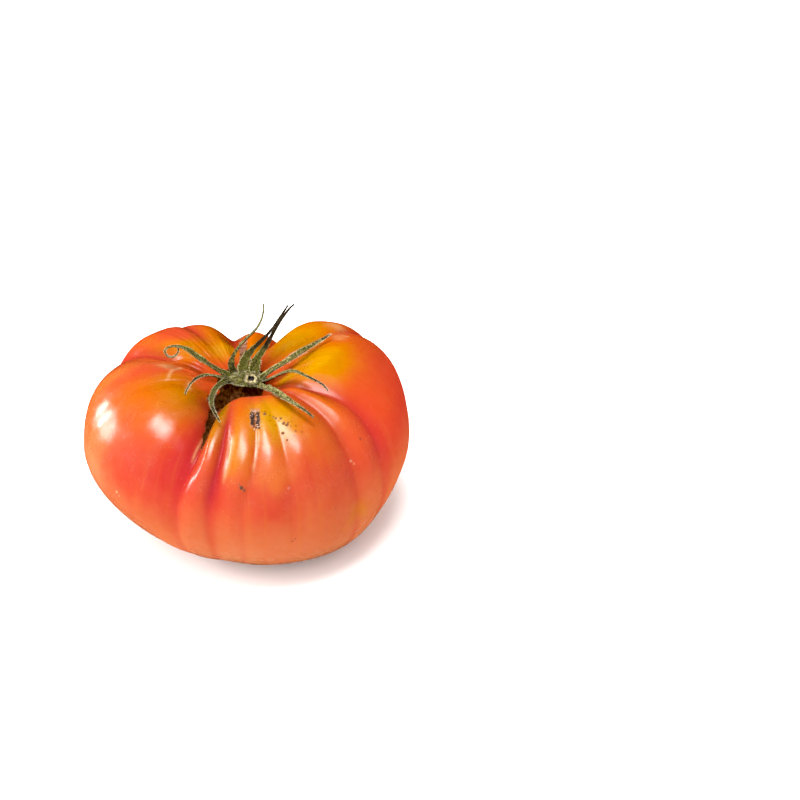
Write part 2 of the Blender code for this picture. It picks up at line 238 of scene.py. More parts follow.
def fruit_points(azimuth, s):
    azimuth, s = np.broadcast_arrays(np.asarray(azimuth, float), np.asarray(s, float))
    r, z = section(azimuth, s)
    e = 0.02
    r1, z1 = section(azimuth, np.clip(s + e, 0, 5))
    r0, z0 = section(azimuth, np.clip(s - e, 0, 5))
    dr, dz = r1 - r0, z1 - z0
    ln = np.hypot(dr, dz) + 1e-9
    depth = sum(a * b for a, b, _ in groove_parts(azimuth, s))
    r = np.maximum(r + depth * dz / ln, 0.0)
    z = z - depth * dr / ln
    a = np.radians(azimuth)
    k = 1.0 - hermite(s, (1.0, 2.3), (0.0, 1.0))
    return np.stack([r * np.sin(a) + CAVITY_SHIFT[0] * k,
                     -r * np.cos(a) + CAVITY_SHIFT[1] * k, z], -1)


def outline_middle():
    az, s = np.meshgrid(np.arange(0, 360, 1.0), np.linspace(2, 4, 80), indexing="ij")
    p = fruit_points(az, s).reshape(-1, 3)
    return 0.5 * (p.max(0) + p.min(0))[:2]


MIDDLE = outline_middle()


def home(p):
    """From the tables' millimetres to metres in the row frame."""
    q = np.array(p, float)
    q[..., 0] -= MIDDLE[0]
    q[..., 1] -= MIDDLE[1]
    return q * MM


def linear(rgb):
    c = np.asarray(rgb, float) / 255.0
    return np.where(c <= 0.04045, c / 12.92, ((c + 0.055) / 1.055) ** 2.4)


def albedo(rgb):
    """Skin albedo that looks like the given colour in the studio light."""
    return linear(rgb) * SKIN_LEVEL


def dry(rgb):
    """Albedo of cork, leaf and down that looks like the given colour."""
    return linear(rgb) * CALYX_LEVEL


def smooth(lo, hi, x):
    t = np.clip((x - lo) / (hi - lo), 0, 1)
    return t * t * (3 - 2 * t)


# ------------------------------------------------------------ mesh helpers
def mesh_object(name, verts, faces, smooth_faces=True):
    mesh = bpy.data.meshes.new(name)
    mesh.from_pydata([tuple(v) for v in verts], [], [tuple(int(i) for i in f) for f in faces])
    mesh.validate()
    if smooth_faces:
        mesh.polygons.foreach_set("use_smooth", [True] * len(mesh.polygons))
    mesh.update()
    obj = bpy.data.objects.new(name, mesh)
    bpy.context.scene.collection.objects.link(obj)
    return obj


def colour_attribute(obj, name, rgb):
    attr = obj.data.attributes.new(name, "FLOAT_COLOR", "POINT")
    rgba = np.ones((len(rgb), 4), np.float32)
    rgba[:, :3] = rgb
    attr.data.foreach_set("color", rgba.ravel())


def value_attribute(obj, name, values):
    attr = obj.data.attributes.new(name, "FLOAT", "POINT")
    attr.data.foreach_set("value", np.asarray(values, np.float32).ravel())


# ---------------------------------------------------------- shader helpers
class Nodes:
    """Short names for building one material's node tree."""

    def __init__(self, name, roughness=0.5):
        self.mat = bpy.data.materials.new(name)
        self.mat.use_nodes = True
        self.tree = self.mat.node_tree
        self.shader = self.tree.nodes["Principled BSDF"]
        self.shader.inputs["Roughness"].default_value = roughness
        self.coords = self.tree.nodes.new("ShaderNodeTexCoord").outputs["Object"]

    def link(self, a, b):
        self.tree.links.new(a, b)

    def put(self, socket, value):
        if hasattr(value, "is_linked") or hasattr(value, "links"):
            self.link(value, socket)
        else:
            socket.default_value = value

    def attribute(self, name, colour=False):
        n = self.tree.nodes.new("ShaderNodeAttribute")
        n.attribute_name = name
        return n.outputs["Color" if colour else "Fac"]

    def scaled(self, scale, vector=None):
        n = self.tree.nodes.new("ShaderNodeMapping")
        self.link(vector or self.coords, n.inputs["Vector"])
        n.inputs["Scale"].default_value = scale if isinstance(scale, tuple) else (scale,) * 3
        return n.outputs["Vector"]

    def noise(self, scale, detail=2.0, rough=0.5, vector=None, distortion=0.0, colour=False):
        n = self.tree.nodes.new("ShaderNodeTexNoise")
        self.link(vector or self.coords, n.inputs["Vector"])
        n.inputs["Scale"].default_value = scale
        n.inputs["Detail"].default_value = detail
        n.inputs["Roughness"].default_value = rough
        n.inputs["Distortion"].default_value = distortion
        return n.outputs["Color" if colour else "Fac"]

    def cells(self, scale, vector=None, feature="F1", out="Distance", randomness=1.0):
        n = self.tree.nodes.new("ShaderNodeTexVoronoi")
        n.feature = feature
        self.link(vector or self.coords, n.inputs["Vector"])
        n.inputs["Scale"].default_value = scale
        n.inputs["Randomness"].default_value = randomness
        return n.outputs[out]

    def ramp(self, value, lo, hi, to_lo=0.0, to_hi=1.0, easy=True):
        n = self.tree.nodes.new("ShaderNodeMapRange")
        n.interpolation_type = "SMOOTHSTEP" if easy else "LINEAR"
        self.put(n.inputs["Value"], value)
        for key, v in (("From Min", lo), ("From Max", hi), ("To Min", to_lo), ("To Max", to_hi)):
            n.inputs[key].default_value = v
        return n.outputs["Result"]

    def math(self, op, a, b=0.0, c=0.0, clamp=False):
        n = self.tree.nodes.new("ShaderNodeMath")
        n.operation = op
        n.use_clamp = clamp
        for i, v in enumerate((a, b, c)):
            self.put(n.inputs[i], v)
        return n.outputs[0]

    def mix(self, fac, a, b, kind="MIX"):
        n = self.tree.nodes.new("ShaderNodeMix")
        n.data_type = "RGBA"
        n.blend_type = kind
        self.put(n.inputs["Factor"], fac)
        for key, v in ((6, a), (7, b)):
            if isinstance(v, (tuple, list, np.ndarray)):
                n.inputs[key].default_value = (*[float(x) for x in v][:3], 1.0)
            else:
                self.link(v, n.inputs[key])
        return n.outputs[2]

    def blend(self, fac, a, b):
        n = self.tree.nodes.new("ShaderNodeMix")
        n.data_type = "FLOAT"
        self.put(n.inputs["Factor"], fac)
        self.put(n.inputs[2], a)
        self.put(n.inputs[3], b)
        return n.outputs[0]

    def near(self, point, vector=None):
        """Distance in metres from a point of the object."""
        n = self.tree.nodes.new("ShaderNodeVectorMath")
        n.operation = "DISTANCE"
        self.link(vector or self.coords, n.inputs[0])
        n.inputs[1].default_value = [float(x) for x in point]
        return n.outputs["Value"]

    def along(self, point, axis, vector, shift):
        """Distance along an axis from a point, in metres."""
        n = self.tree.nodes.new("ShaderNodeVectorMath")
        n.operation = "DOT_PRODUCT"
        self.link(vector, n.inputs[0])
        n.inputs[1].default_value = [float(x) for x in axis]
        return self.math("SUBTRACT", n.outputs["Value"], float(np.dot(np.asarray(point) + shift, axis)))

    def bump(self, height, distance, strength=1.0, normal=None):
        n = self.tree.nodes.new("ShaderNodeBump")
        n.inputs["Strength"].default_value = strength
        n.inputs["Distance"].default_value = distance
        self.put(n.inputs["Height"], height)
        if normal is not None:
            self.link(normal, n.inputs["Normal"])
        return n.outputs["Normal"]


# ------------------------------------------------------------ fruit colours
SKIN_LEVEL = 0.335
CALYX_LEVEL = 0.42
RED = (230, 72, 52)
DEEP_RED = (218, 58, 54)
RED_ORANGE = (238, 94, 36)
ORANGE = (230, 116, 4)
LIGHT_ORANGE = (252, 142, 58)
YELLOW = (230, 160, 0)
OLIVE = (212, 126, 0)
GREENISH = (158, 116, 2)
CRIMSON = (198, 24, 54)
SALMON = (244, 126, 76)
# painted light: the lit left side and the floor's reflection low down
LIT_PEACH = (250, 156, 104)
RUST = (186, 76, 34)
# painted shade on the walls of the stalk cavity and of the cleft
SHADED_WALL_RED = (166, 58, 32)
# painted sheen on the shoulder tops
PAINTED_SHEEN = (250, 184, 116)

# patches: colour, azimuth, station, width in azimuth, width in station, strength
PATCHES = (
    # the shoulders ripen last: orange all round the top
    (ORANGE, -62, 2.05, 32, 0.38, 0.92),
    (ORANGE, 82, 1.90, 26, 0.36, 0.92),
    (ORANGE, 138, 1.85, 28, 0.50, 0.90),
    (ORANGE, 172, 1.95, 16, 0.45, 0.85),
    (ORANGE, 203, 1.85, 20, 0.50, 0.90),
    (ORANGE, 232, 1.65, 24, 0.45, 0.90),
    (ORANGE, 244, 2.00, 9, 0.50, 0.80),
    (ORANGE, 2, 2.30, 10, 0.32, 0.80),
    (ORANGE, 32, 2.32, 15, 0.28, 0.80),
    (ORANGE, 50, 2.20, 7, 0.34, 0.65),
    # yellow and olive near the stalk
    (OLIVE, -46, 1.95, 14, 0.26, 0.95),
    (OLIVE, -70, 1.88, 16, 0.22, 0.55),
    (OLIVE, -62, 1.55, 20, 0.20, 0.60),
    (GREENISH, -13, 2.08, 5.5, 0.20, 1.00),
    (OLIVE, -9, 2.22, 5, 0.16, 0.85),
    (YELLOW, 21, 2.24, 12, 0.20, 1.00),
    (YELLOW, 13, 2.14, 6, 0.10, 0.60),
    (YELLOW, 3, 2.42, 3.5, 0.20, 0.50),
    (YELLOW, 79, 1.92, 17, 0.28, 1.00),
    (OLIVE, 79, 2.06, 11, 0.11, 0.65),
    (YELLOW, 72, 1.45, 13, 0.20, 0.90),
    (YELLOW, 92, 1.60, 11, 0.24, 0.85),
    (OLIVE, 132, 1.62, 22, 0.42, 1.00),
    (GREENISH, 112, 1.50, 9, 0.30, 0.50),
    (YELLOW, 134, 1.62, 18, 0.34, 0.60),
    (YELLOW, 140, 1.85, 12, 0.20, 0.25),
    (OLIVE, 152, 1.98, 14, 0.16, 0.60),
    (YELLOW, 208, 1.45, 16, 0.26, 0.75),
    (YELLOW, 238, 1.80, 8, 0.40, 0.35),
    (OLIVE, 214, 1.85, 16, 0.30, 0.55),
    (OLIVE, 240, 1.85, 9, 0.30, 0.55),
    (YELLOW, 173, 1.75, 9, 0.25, 0.50),
    # redder rims and flanks; painted shade on the walls of the stalk cavity and of the cleft
    (RUST, 14, 1.82, 28, 0.12, 0.95),
    (RED, -108, 1.34, 9, 0.14, 0.60),
    (RED, -86, 2.10, 9, 0.40, 0.75),
    (RED, -133, 2.05, 8, 0.22, 0.75),
    # painted shade on the cavity wall on the right
    (SHADED_WALL_RED, 55, 1.55, 8, 0.26, 0.80),
    (RUST, 88, 1.28, 13, 0.09, 0.60),
    # painted shade on the wall of the cleft
    (SHADED_WALL_RED, -32, 1.55, 10, 0.40, 0.85),
    (DEEP_RED, 90, 2.80, 22, 0.30, 0.45),
    (RED, -48, 2.76, 14, 0.26, 0.55),
    (DEEP_RED, -27, 2.55, 9, 0.40, 0.75),
    (DEEP_RED, 63, 2.80, 3, 0.30, 0.35),
    (SALMON, 46, 2.80, 12, 0.50, 0.20),
    (SALMON, 92, 3.05, 30, 0.22, 0.25),
    (SALMON, 6, 2.86, 10, 0.16, 0.12),
    (SALMON, 27, 2.80, 8, 0.14, 0.20),
    (LIGHT_ORANGE, 14, 2.62, 7, 0.13, 0.45),
    (RED, 14, 2.84, 6, 0.10, 0.55),
    (RED, 27, 2.63, 6, 0.13, 0.40),
    (RED, -14, 2.56, 3, 0.16, 0.45),
    (RED, 18, 1.96, 9, 0.08, 0.55),
    (RED, 84, 2.42, 22, 0.18, 0.40),
    # painted light: the left side made paler and peachier as painted reflection and window light, pale painted sheen on
    # the shoulder tops, and a yellow spot low on the right front
    (LIGHT_ORANGE, -74, 2.74, 16, 0.30, 0.70),
    (LIGHT_ORANGE, -92, 2.45, 8, 0.40, 0.60),
    (LIT_PEACH, -76, 3.05, 20, 0.26, 0.75),
    (YELLOW, 47, 3.12, 5, 0.09, 0.50),
    (PAINTED_SHEEN, -91, 1.84, 5, 0.12, 0.55),
    (PAINTED_SHEEN, 126, 2.14, 7, 0.10, 0.55),
    (PAINTED_SHEEN, 110, 2.05, 6, 0.07, 0.40),
)


def skin_colour(az, s, p):
    """Base colour of the skin over azimuth and station."""
    wob = 5.0 * fbm(p, 14.0, 3) + 1.5 * fbm(p, 4.0, 5)
    sw = s + 0.055 * fbm(p, 10.0, 11) + 0.02 * fbm(p, 3.5, 13)
    aw = az + wob
    col = np.tile(albedo(RED), (len(az), 1))

    def lay(rgb, w):
        w = np.clip(w, 0, 1)[:, None]
        np.copyto(col, col * (1 - w) + albedo(rgb) * w)

    lay(RED_ORANGE, 0.65 * smooth(2.9, 2.3, sw) + 0.35 * (0.5 + 0.5 * noise(p, 18.0, 21)))
    # painted light: paler salmon and peach towards the underside, painted reflection and bounce of the white floor
    lay(SALMON, 0.90 * smooth(2.72, 3.15, sw))
    lay(LIT_PEACH, 0.80 * smooth(3.05, 3.50, sw))
    for rgb, a0, s0, wa, ws, strength in PATCHES:
        d = ((aw - a0 + 180.0) % 360.0 - 180.0) / wa
        e = (sw - s0) / ws
        lay(rgb, strength * np.exp(-np.power(d * d + e * e, 1.35)))
    # fine stripes that run from stalk to blossom end
    a = np.radians(az)
    ring = np.stack([np.sin(a) * 60.0, np.cos(a) * 60.0, s * 6.0], -1)
    stripe = noise(ring, 3.2, 31) + 0.6 * noise(ring, 1.5, 33)
    low = smooth(2.2, 2.9, s) * smooth(4.6, 3.9, s)
    lay(LIGHT_ORANGE, 0.12 * low * smooth(0.15, 1.1, stripe))
    lay(RED, 0.15 * low * smooth(0.15, 1.1, -stripe))
    # grooves painted crimson along their floors: partly a deeper red of the skin, partly painted shade in the creases
    for (along, across, x), row in zip(groove_parts(az, s), GROOVES):
        line = np.exp(-np.power(np.abs(x) / 0.34, 1.6))
        window = smooth(1.5, 2.1, s) * smooth(3.35, 2.75, s)
        lay(CRIMSON, row[4] * 0.85 * line * window * np.clip(along / 1.6, 0, 1))
        faint = np.exp(-np.power(np.abs(x) / 0.22, 2.0))
        lay(RED, row[4] * 0.45 * faint * smooth(2.6, 3.0, s) * smooth(4.3, 3.4, s))
    # painted light: the right side, away from the lamps, lightened to make up for the light it lacks
    col *= (1.0 + 0.32 * smooth(32.0, 68.0, az) * smooth(165.0, 130.0, az) * smooth(2.1, 2.8, s))[:, None]
    np.clip(col, 0.0, 0.92, out=col)
    # a pale star round the blossom end
    under = smooth(3.75, 4.35, s)
    rays = np.abs(np.sin(np.radians(az * 4.5 + 10.0 * noise(p, 8.0, 41))))
    lay(LIGHT_ORANGE, 0.6 * under)
    lay(YELLOW, 0.75 * under * smooth(0.80, 0.98, rays) * smooth(4.9, 4.5, s))
    return col


def cork_amount(az, s, p):
    """1 on the corky lining of the stalk cavity, of the cleft and of old scars."""
    parts = groove_parts(az, s)
    wobble = 0.10 * fbm(p, 3.0, 51)
    front = np.exp(-np.power(((az - 8.0 + 180) % 360 - 180) / 34.0, 4.0))
    left = np.exp(-np.power(((az + 38.0 + 180) % 360 - 180) / 14.0, 4.0))
    edge = 0.86 + np.maximum(0.80 * front, 0.60 * left) + wobble
    cork = smooth(edge + 0.05, edge - 0.05, s)
    centre = hermite(s, (1.5, 2.0, 2.45, 3.0), GROOVES[0][0])
    x = (az - centre + 180.0) % 360.0 - 180.0 + 0.8 * fbm(p, 1.6, 53)
    half = hermite(s, (1.0, 1.7, 2.1, 2.3, 2.42), (12.0, 5.0, 2.6, 1.1, 0.25))
    deep = smooth(half + 0.8, half - 0.8, np.where(x < 0, -x * 1.15, x * 0.9))
    cork = np.maximum(cork, deep * smooth(2.42, 2.34, s) * smooth(0.9, 1.2, s))
    back = np.abs((az + 176.5 + 180.0) % 360.0 - 180.0) + 0.9 * fbm(p, 1.4, 57)
    cork = np.maximum(cork, smooth(4.0, 2.4, back) * smooth(2.18, 2.06, s) * smooth(1.0, 1.2, s))
    spot = np.linalg.norm(p - fruit_points(np.array(-174.5), np.array(2.27)), axis=1) + 0.25 * fbm(p, 0.8, 58)
    cork = np.maximum(cork, smooth(1.55, 1.25, spot))
    scar = smooth(4.80, 4.88, s + 0.05 * fbm(p, 2.0, 59))
    return np.maximum(cork, scar)


# thin raised ridges coloured pale, partly paler skin edges and partly painted highlights
# along the rib edges: azimuth and station of the points they join, half width (mm), height (mm)
RIDGES = (
    (((-21.2, 2.20), (-21.0, 2.33), (-21.0, 2.41), (-20.8, 2.52)), 0.32, 0.16),
    (((10.9, 2.27), (9.6, 2.40), (8.0, 2.51), (6.5, 2.60)), 0.26, 0.14),
    (((-1.4, 2.33), (-1.9, 2.42), (-2.9, 2.55), (-4.6, 2.67)), 0.50, 0.22),
    (((-92.0, 1.62), (-84.0, 1.80), (-72.0, 1.92)), 0.45, 0.12),
    (((-52.0, 1.74), (-60.0, 1.62), (-72.0, 1.56)), 0.35, 0.10),
)


def ridge_amount(p):
    """How much each point lies on one of the ridges, and how high that is."""
    amount = np.zeros(len(p))
    height = np.zeros(len(p))
    for line, half, high in RIDGES:
        key = np.array(line, float)
        t = np.linspace(0, len(key) - 1, 60)
        az = np.interp(t, np.arange(len(key)), key[:, 0])
        s = np.interp(t, np.arange(len(key)), key[:, 1])
        q = fruit_points(az, s)
        best = np.full(len(p), 1e9)
        where = np.zeros(len(p))
        near = np.linalg.norm(p - q.mean(0), axis=1) < 14.0
        for k, c in enumerate(q):
            d = np.linalg.norm(p[near] - c, axis=1)
            closer = d < best[near]
            idx = np.flatnonzero(near)[closer]
            best[idx] = d[closer]
            where[idx] = t[k] / (len(key) - 1)
        fade = smooth(0.0, 0.12, where) * smooth(1.0, 0.85, where)
        a = np.exp(-(best / half) ** 2) * (0.35 + 0.65 * fade)
        a *= 0.75 + 0.25 * noise(p, 0.9, 97)
        amount = np.maximum(amount, np.clip(a, 0, 1))
        height = np.maximum(height, np.clip(a, 0, 1) * high)
    return amount, height


def make_skin():
    rows = ((0, 1, 14), (1, 2, 34), (2, 3, 46), (3, 4, 34), (4, 5, 9))
    s = np.concatenate([np.linspace(a, b, n + 1)[:-1] for a, b, n in rows] + [[5.0]])
    nphi = 720
    az1 = np.arange(nphi) * 360.0 / nphi - 180.0
    az, st = np.meshgrid(az1, s, indexing="ij")
    p = fruit_points(az, st)
    # normals of the smooth skin, for the fine relief
    du = np.roll(p, -1, 0) - np.roll(p, 1, 0)
    dv = np.gradient(p, axis=1)
    n = np.cross(dv, du)
    n /= np.linalg.norm(n, axis=-1, keepdims=True) + 1e-12
    if ((p - (0, 0, 24.0)) * n).sum(-1).mean() < 0:
        n = -n
    flat = p.reshape(-1, 3)
    fa, fs = az.ravel(), st.ravel()
    cork = cork_amount(fa, fs, flat)
    relief = 0.10 * fbm(flat, 9.0, 61, 2) * smooth(1.3, 2.0, fs) * smooth(4.0, 3.4, fs)
    relief += 0.035 * fbm(flat, 3.0, 63, 2) * smooth(1.3, 2.0, fs) * smooth(4.0, 3.6, fs)
    relief += cork * (0.30 * fbm(flat, 1.6, 65, 3) - 0.12)
    wrinkle = np.sin(np.radians(fa * 22.0) + 2.0 * noise(flat, 3.0, 67))
    relief += 0.10 * wrinkle * smooth(0.5, 0.9, fs) * smooth(1.7, 1.3, fs)
    pleat = noise(np.stack([fa * 0.9, fs * 3.0, fs * 0 + 5.0], -1), 2.2, 68) + 0.5 * noise(np.stack([fa * 0.9, fs * 4.0, fs * 0 + 9.0], -1), 1.1, 70)
    behind = smooth(40.0, 70.0, np.abs((fa - 8.0 + 180.0) % 360.0 - 180.0))
    relief += 0.16 * pleat * smooth(1.1, 1.4, fs) * smooth(2.25, 1.75, fs) * (0.25 + 0.75 * behind)
    ridge, lift = ridge_amount(flat)
    relief += lift
    # gentle faceting of the flanks, as firm flesh between the seed chambers
    relief += 0.16 * np.sin(np.radians(fa * 9.0 + 25.0 * noise(flat, 30.0, 69))) * smooth(2.5, 3.0, fs) * smooth(4.0, 3.5, fs)
    q = flat + n.reshape(-1, 3) * relief[:, None]
    # the underside is hollowed a little inside the ring it stands on
    inner = smooth(4.05, 4.9, fs)
    q[:, 2] = np.where(fs > 4.0, 0.9 * inner + 0.35 * smooth(4.80, 4.95, fs) + 0.12 * inner * fbm(flat, 2.0, 71), q[:, 2])
    q[:, 2] = np.maximum(q[:, 2], 0.0)
    q = q.reshape(p.shape)
    q[:, 0] = q[:, 0].mean(0)
    q[:, -1] = q[:, -1].mean(0)
    ns = len(s)
    # verts: one for each pole, the rest ring by ring
    body = q[:, 1:-1]
    m = ns - 2
    verts = np.concatenate([[q[0, 0]], [q[0, -1]], body.reshape(-1, 3)])

    def pick(a):
        a = a.reshape(nphi, ns, *a.shape[1:])
        return np.concatenate([a[:1, 0], a[:1, -1], a[:, 1:-1].reshape(nphi * m, *a.shape[2:])])

    i = np.arange(nphi)
    j = (i + 1) % nphi
    quads = []
    for k in range(m - 1):
        quads.append(np.stack([2 + i * m + k, 2 + i * m + k + 1, 2 + j * m + k + 1, 2 + j * m + k], -1))
    faces = [tuple(f) for f in np.concatenate(quads)]
    faces += [(0, 2 + a * m, 2 + b * m) for a, b in zip(i, j)]
    faces += [(1, 2 + b * m + m - 1, 2 + a * m + m - 1) for a, b in zip(i, j)]
    obj = mesh_object("tomato_skin", home(verts), faces)
    col = skin_colour(fa, fs, flat)
    colour_attribute(obj, "tint", pick(col))
    value_attribute(obj, "cork", pick(cork))
    value_attribute(obj, "pink", pick(smooth(150.0, 165.0, np.abs((fa + 180.0) % 360.0 - 180.0))))
    # the skin is duller on the right, low down and at the back
    side = smooth(58.0, 74.0, fa) * smooth(2.28, 2.50, fs)
    back = np.maximum(smooth(92.0, 112.0, np.abs(fa + 4.0)) * smooth(1.6, 2.0, fs) * 0.9, side)
    left = smooth(-72.0, -86.0, fa) * smooth(2.30, 2.55, fs)
    gloss = (1 - back) * (1 - 0.95 * smooth(2.66, 2.92, fs)) * (1 - 0.85 * left) * (1 - 0.9 * smooth(1.5, 1.0, fs))
    # the crimson furrow and the slope into the cleft are dull too
    gloss *= 1 - 0.92 * np.exp(-((fa + 6.4) / 2.1) ** 2) * smooth(1.95, 2.15, fs)
    gloss *= 1 - 0.94 * smooth(-38.0, -32.0, fa) * smooth(-17.5, -20.5, fa) * smooth(2.10, 2.22, fs)
    gloss *= 1 - 0.92 * smooth(58.5, 63.0, fa) * smooth(1.7, 1.9, fs)
    gloss *= 1 - 0.35 * np.exp(-((fa - 59.0) / 4.0) ** 2)
    gloss *= 1 - 0.55 * smooth(140.0, 100.0, np.abs(fa)) * smooth(80.0, 96.0, np.abs(fa)) * smooth(1.05, 1.2, fs) * smooth(1.8, 1.6, fs)
    gloss *= 1 - 0.25 * np.exp(-((fa - 24.0) / 5.0) ** 2) - 0.65 * np.exp(-((fa - 48.0) / 4.0) ** 2)
    value_attribute(obj, "gloss", pick(gloss))
    value_attribute(obj, "ridge", pick(ridge))
    a = np.radians(fa)
    flow = np.stack([np.sin(a) * 46.0, np.cos(a) * 46.0, fs * 9.0], -1) * MM
    attr = obj.data.attributes.new("flow", "FLOAT_VECTOR", "POINT")
    attr.data.foreach_set("vector", pick(flow).astype(np.float32).ravel())
    return obj


# small marks on the skin: azimuth, station, radius (mm), colour, depth of colour
MARKS = (
    (2.2, 2.71, 0.62, (70, 66, 30), 0.85), (3.2, 2.73, 0.40, (80, 70, 34), 0.8),
    (1.4, 2.69, 0.32, (84, 70, 30), 0.7),
    (53.2, 2.61, 0.34, (120, 50, 20), 0.8), (34.8, 2.96, 0.36, (110, 52, 24), 0.75),
    (20.0, 3.12, 0.34, (110, 60, 30), 0.7), (19.0, 3.14, 0.30, (110, 60, 30), 0.6),
    (16.4, 2.17, 0.55, (120, 52, 24), 0.85), (17.2, 2.15, 0.30, (116, 50, 22), 0.8),
    (15.6, 2.145, 0.26, (120, 52, 24), 0.8), (19.0, 2.185, 0.28, (120, 54, 20), 0.8),
    (20.6, 2.20, 0.38, (112, 44, 16), 0.9), (21.7, 2.215, 0.42, (112, 44, 16), 0.9),
    (22.6, 2.24, 0.32, (112, 44, 16), 0.9), (24.0, 2.225, 0.44, (112, 44, 16), 0.9),
    (24.3, 2.27, 0.50, (116, 48, 18), 0.9), (25.4, 2.29, 0.52, (116, 48, 18), 0.9),
    (26.3, 2.275, 0.34, (116, 48, 18), 0.85), (26.9, 2.305, 0.30, (116, 48, 18), 0.8),
    (22.2, 2.34, 0.46, (112, 50, 16), 0.9), (22.9, 2.40, 0.34, (120, 56, 20), 0.8),
    (18.2, 2.23, 0.24, (120, 54, 20), 0.8), (27.9, 2.35, 0.30, (130, 62, 24), 0.75),
    (29.2, 2.31, 0.30, (130, 62, 24), 0.75), (26.7, 2.38, 0.26, (130, 62, 24), 0.7),
    (30.4, 2.37, 0.26, (130, 62, 24), 0.7), (25.2, 2.34, 0.24, (120, 56, 20), 0.75),
    (20.2, 2.27, 0.24, (120, 54, 20), 0.75), (28.4, 2.27, 0.24, (120, 54, 20), 0.75),
    (-48.8, 2.99, 0.46, (250, 214, 160), 0.75), (-47.6, 3.01, 0.30, (250, 214, 160), 0.7),
    (45.8, 2.71, 0.40, (250, 190, 150), 0.6), (46.6, 2.74, 0.34, (250, 190, 150), 0.5),
    (19.0, 2.74, 0.34, (240, 150, 130), 0.6), (17.6, 2.77, 0.28, (240, 150, 130), 0.5),
    (109.0, 2.11, 0.70, (240, 170, 110), 0.6), (112.0, 2.09, 0.50, (245, 180, 120), 0.6),
    (120.0, 2.12, 0.55, (150, 70, 30), 0.55),
    (150.0, 2.75, 0.40, (120, 60, 26), 0.7), (168.0, 2.55, 0.34, (230, 170, 120), 0.6),
    (205.0, 2.80, 0.50, (230, 180, 130), 0.6), (-122.0, 2.85, 0.40, (110, 56, 24), 0.7),
    (-84.0, 2.95, 0.36, (120, 60, 30), 0.5), (92.0, 3.05, 0.34, (240, 190, 140), 0.5),
)


SCAR = (10.4, 2.19)


def scar_frame():
    """Middle of the scar, the way across it and the way down the fruit."""
    az, s = SCAR
    c = fruit_points(np.array(az), np.array(s))
    across = fruit_points(np.array(az + 1.0), np.array(s)) - fruit_points(np.array(az - 1.0), np.array(s))
    down = fruit_points(np.array(az - 0.35), np.array(s + 0.03)) - fruit_points(np.array(az + 0.35), np.array(s - 0.03))
    down /= np.linalg.norm(down)
    across -= down * (across @ down)
    return c, across / np.linalg.norm(across), down


def make_flakes():
    """Loose corky flakes standing on the edges of the scar."""
    rng = np.random.default_rng(31)
    c, across, down = scar_frame()
    out = np.cross(across, down)
    if out[2] < 0:
        out = -out
    rows = []
    for u, v, n, pale in ((-1.15, 0.4, 9, 0.5), (-0.30, 0.6, 7, 0.2), (0.25, 0.8, 7, 0.35), (1.15, 0.6, 9, 0.6)):
        for k in range(n):
            rows.append((u + rng.normal(0, 0.10), v + rng.uniform(-2.6, 2.8), pale))
    for k in range(14):
        rows.append((rng.uniform(-1.3, 1.3), rng.uniform(-3.3, -2.3), 0.9))
    for k in range(6):
        rows.append((rng.uniform(0.2, 1.1), rng.uniform(2.8, 3.6), 0.5))
    verts, faces, tone = [], [], []
    for u, v, pale in rows:
        length, width, thick = rng.uniform(0.5, 1.1), rng.uniform(0.12, 0.26), 0.07
        turn, rise = rng.normal(0.0, 0.5), rng.uniform(0.25, 0.9)
        run = down * math.cos(turn) + across * math.sin(turn)
        wide = across * math.cos(turn) - down * math.sin(turn)
        step = run * math.cos(rise) + out * math.sin(rise)
        up = out * math.cos(rise) - run * math.sin(rise)
        # stand on the surface under the flake, not on the flat through the middle
        base = c + across * u + down * v - out * (0.012 * v * v + 0.02 * u * u + 0.12)
        k = len(verts)
        for a, w in ((0.0, width), (0.6, width * rng.uniform(0.8, 1.3)), (1.0, width * 0.4)):
            for sx in (-1, 1):
                for sz in (-0.5, 0.5):
                    verts.append(base + step * (a * length) + wide * (sx * w) + up * (sz * thick))
        for a in (k, k + 4):
            faces += [(a, a + 4, a + 5, a + 1), (a + 2, a + 3, a + 7, a + 6), (a, a + 2, a + 6, a + 4), (a + 1, a + 5, a + 7, a + 3)]
        faces += [(k, k + 1, k + 3, k + 2), (k + 8, k + 10, k + 11, k + 9)]
        tone += [1.0 if rng.random() < pale else 0.0] * 12
    obj = mesh_object("scar_flakes", home(np.array(verts)), faces, False)
    value_attribute(obj, "tone", tone)
    m = Nodes("scar_flakes", 0.85)
    grain = m.noise(2500.0, 2.0)
    dark = m.mix(m.ramp(grain, 0.4, 0.6), dry((34, 18, 14)), dry((92, 56, 44)))
    light = m.mix(m.ramp(grain, 0.4, 0.6), dry((206, 140, 112)), dry((250, 214, 190)))
    m.link(m.mix(m.attribute("tone"), dark, light), m.shader.inputs["Base Color"])
    obj.data.materials.append(m.mat)
    return obj


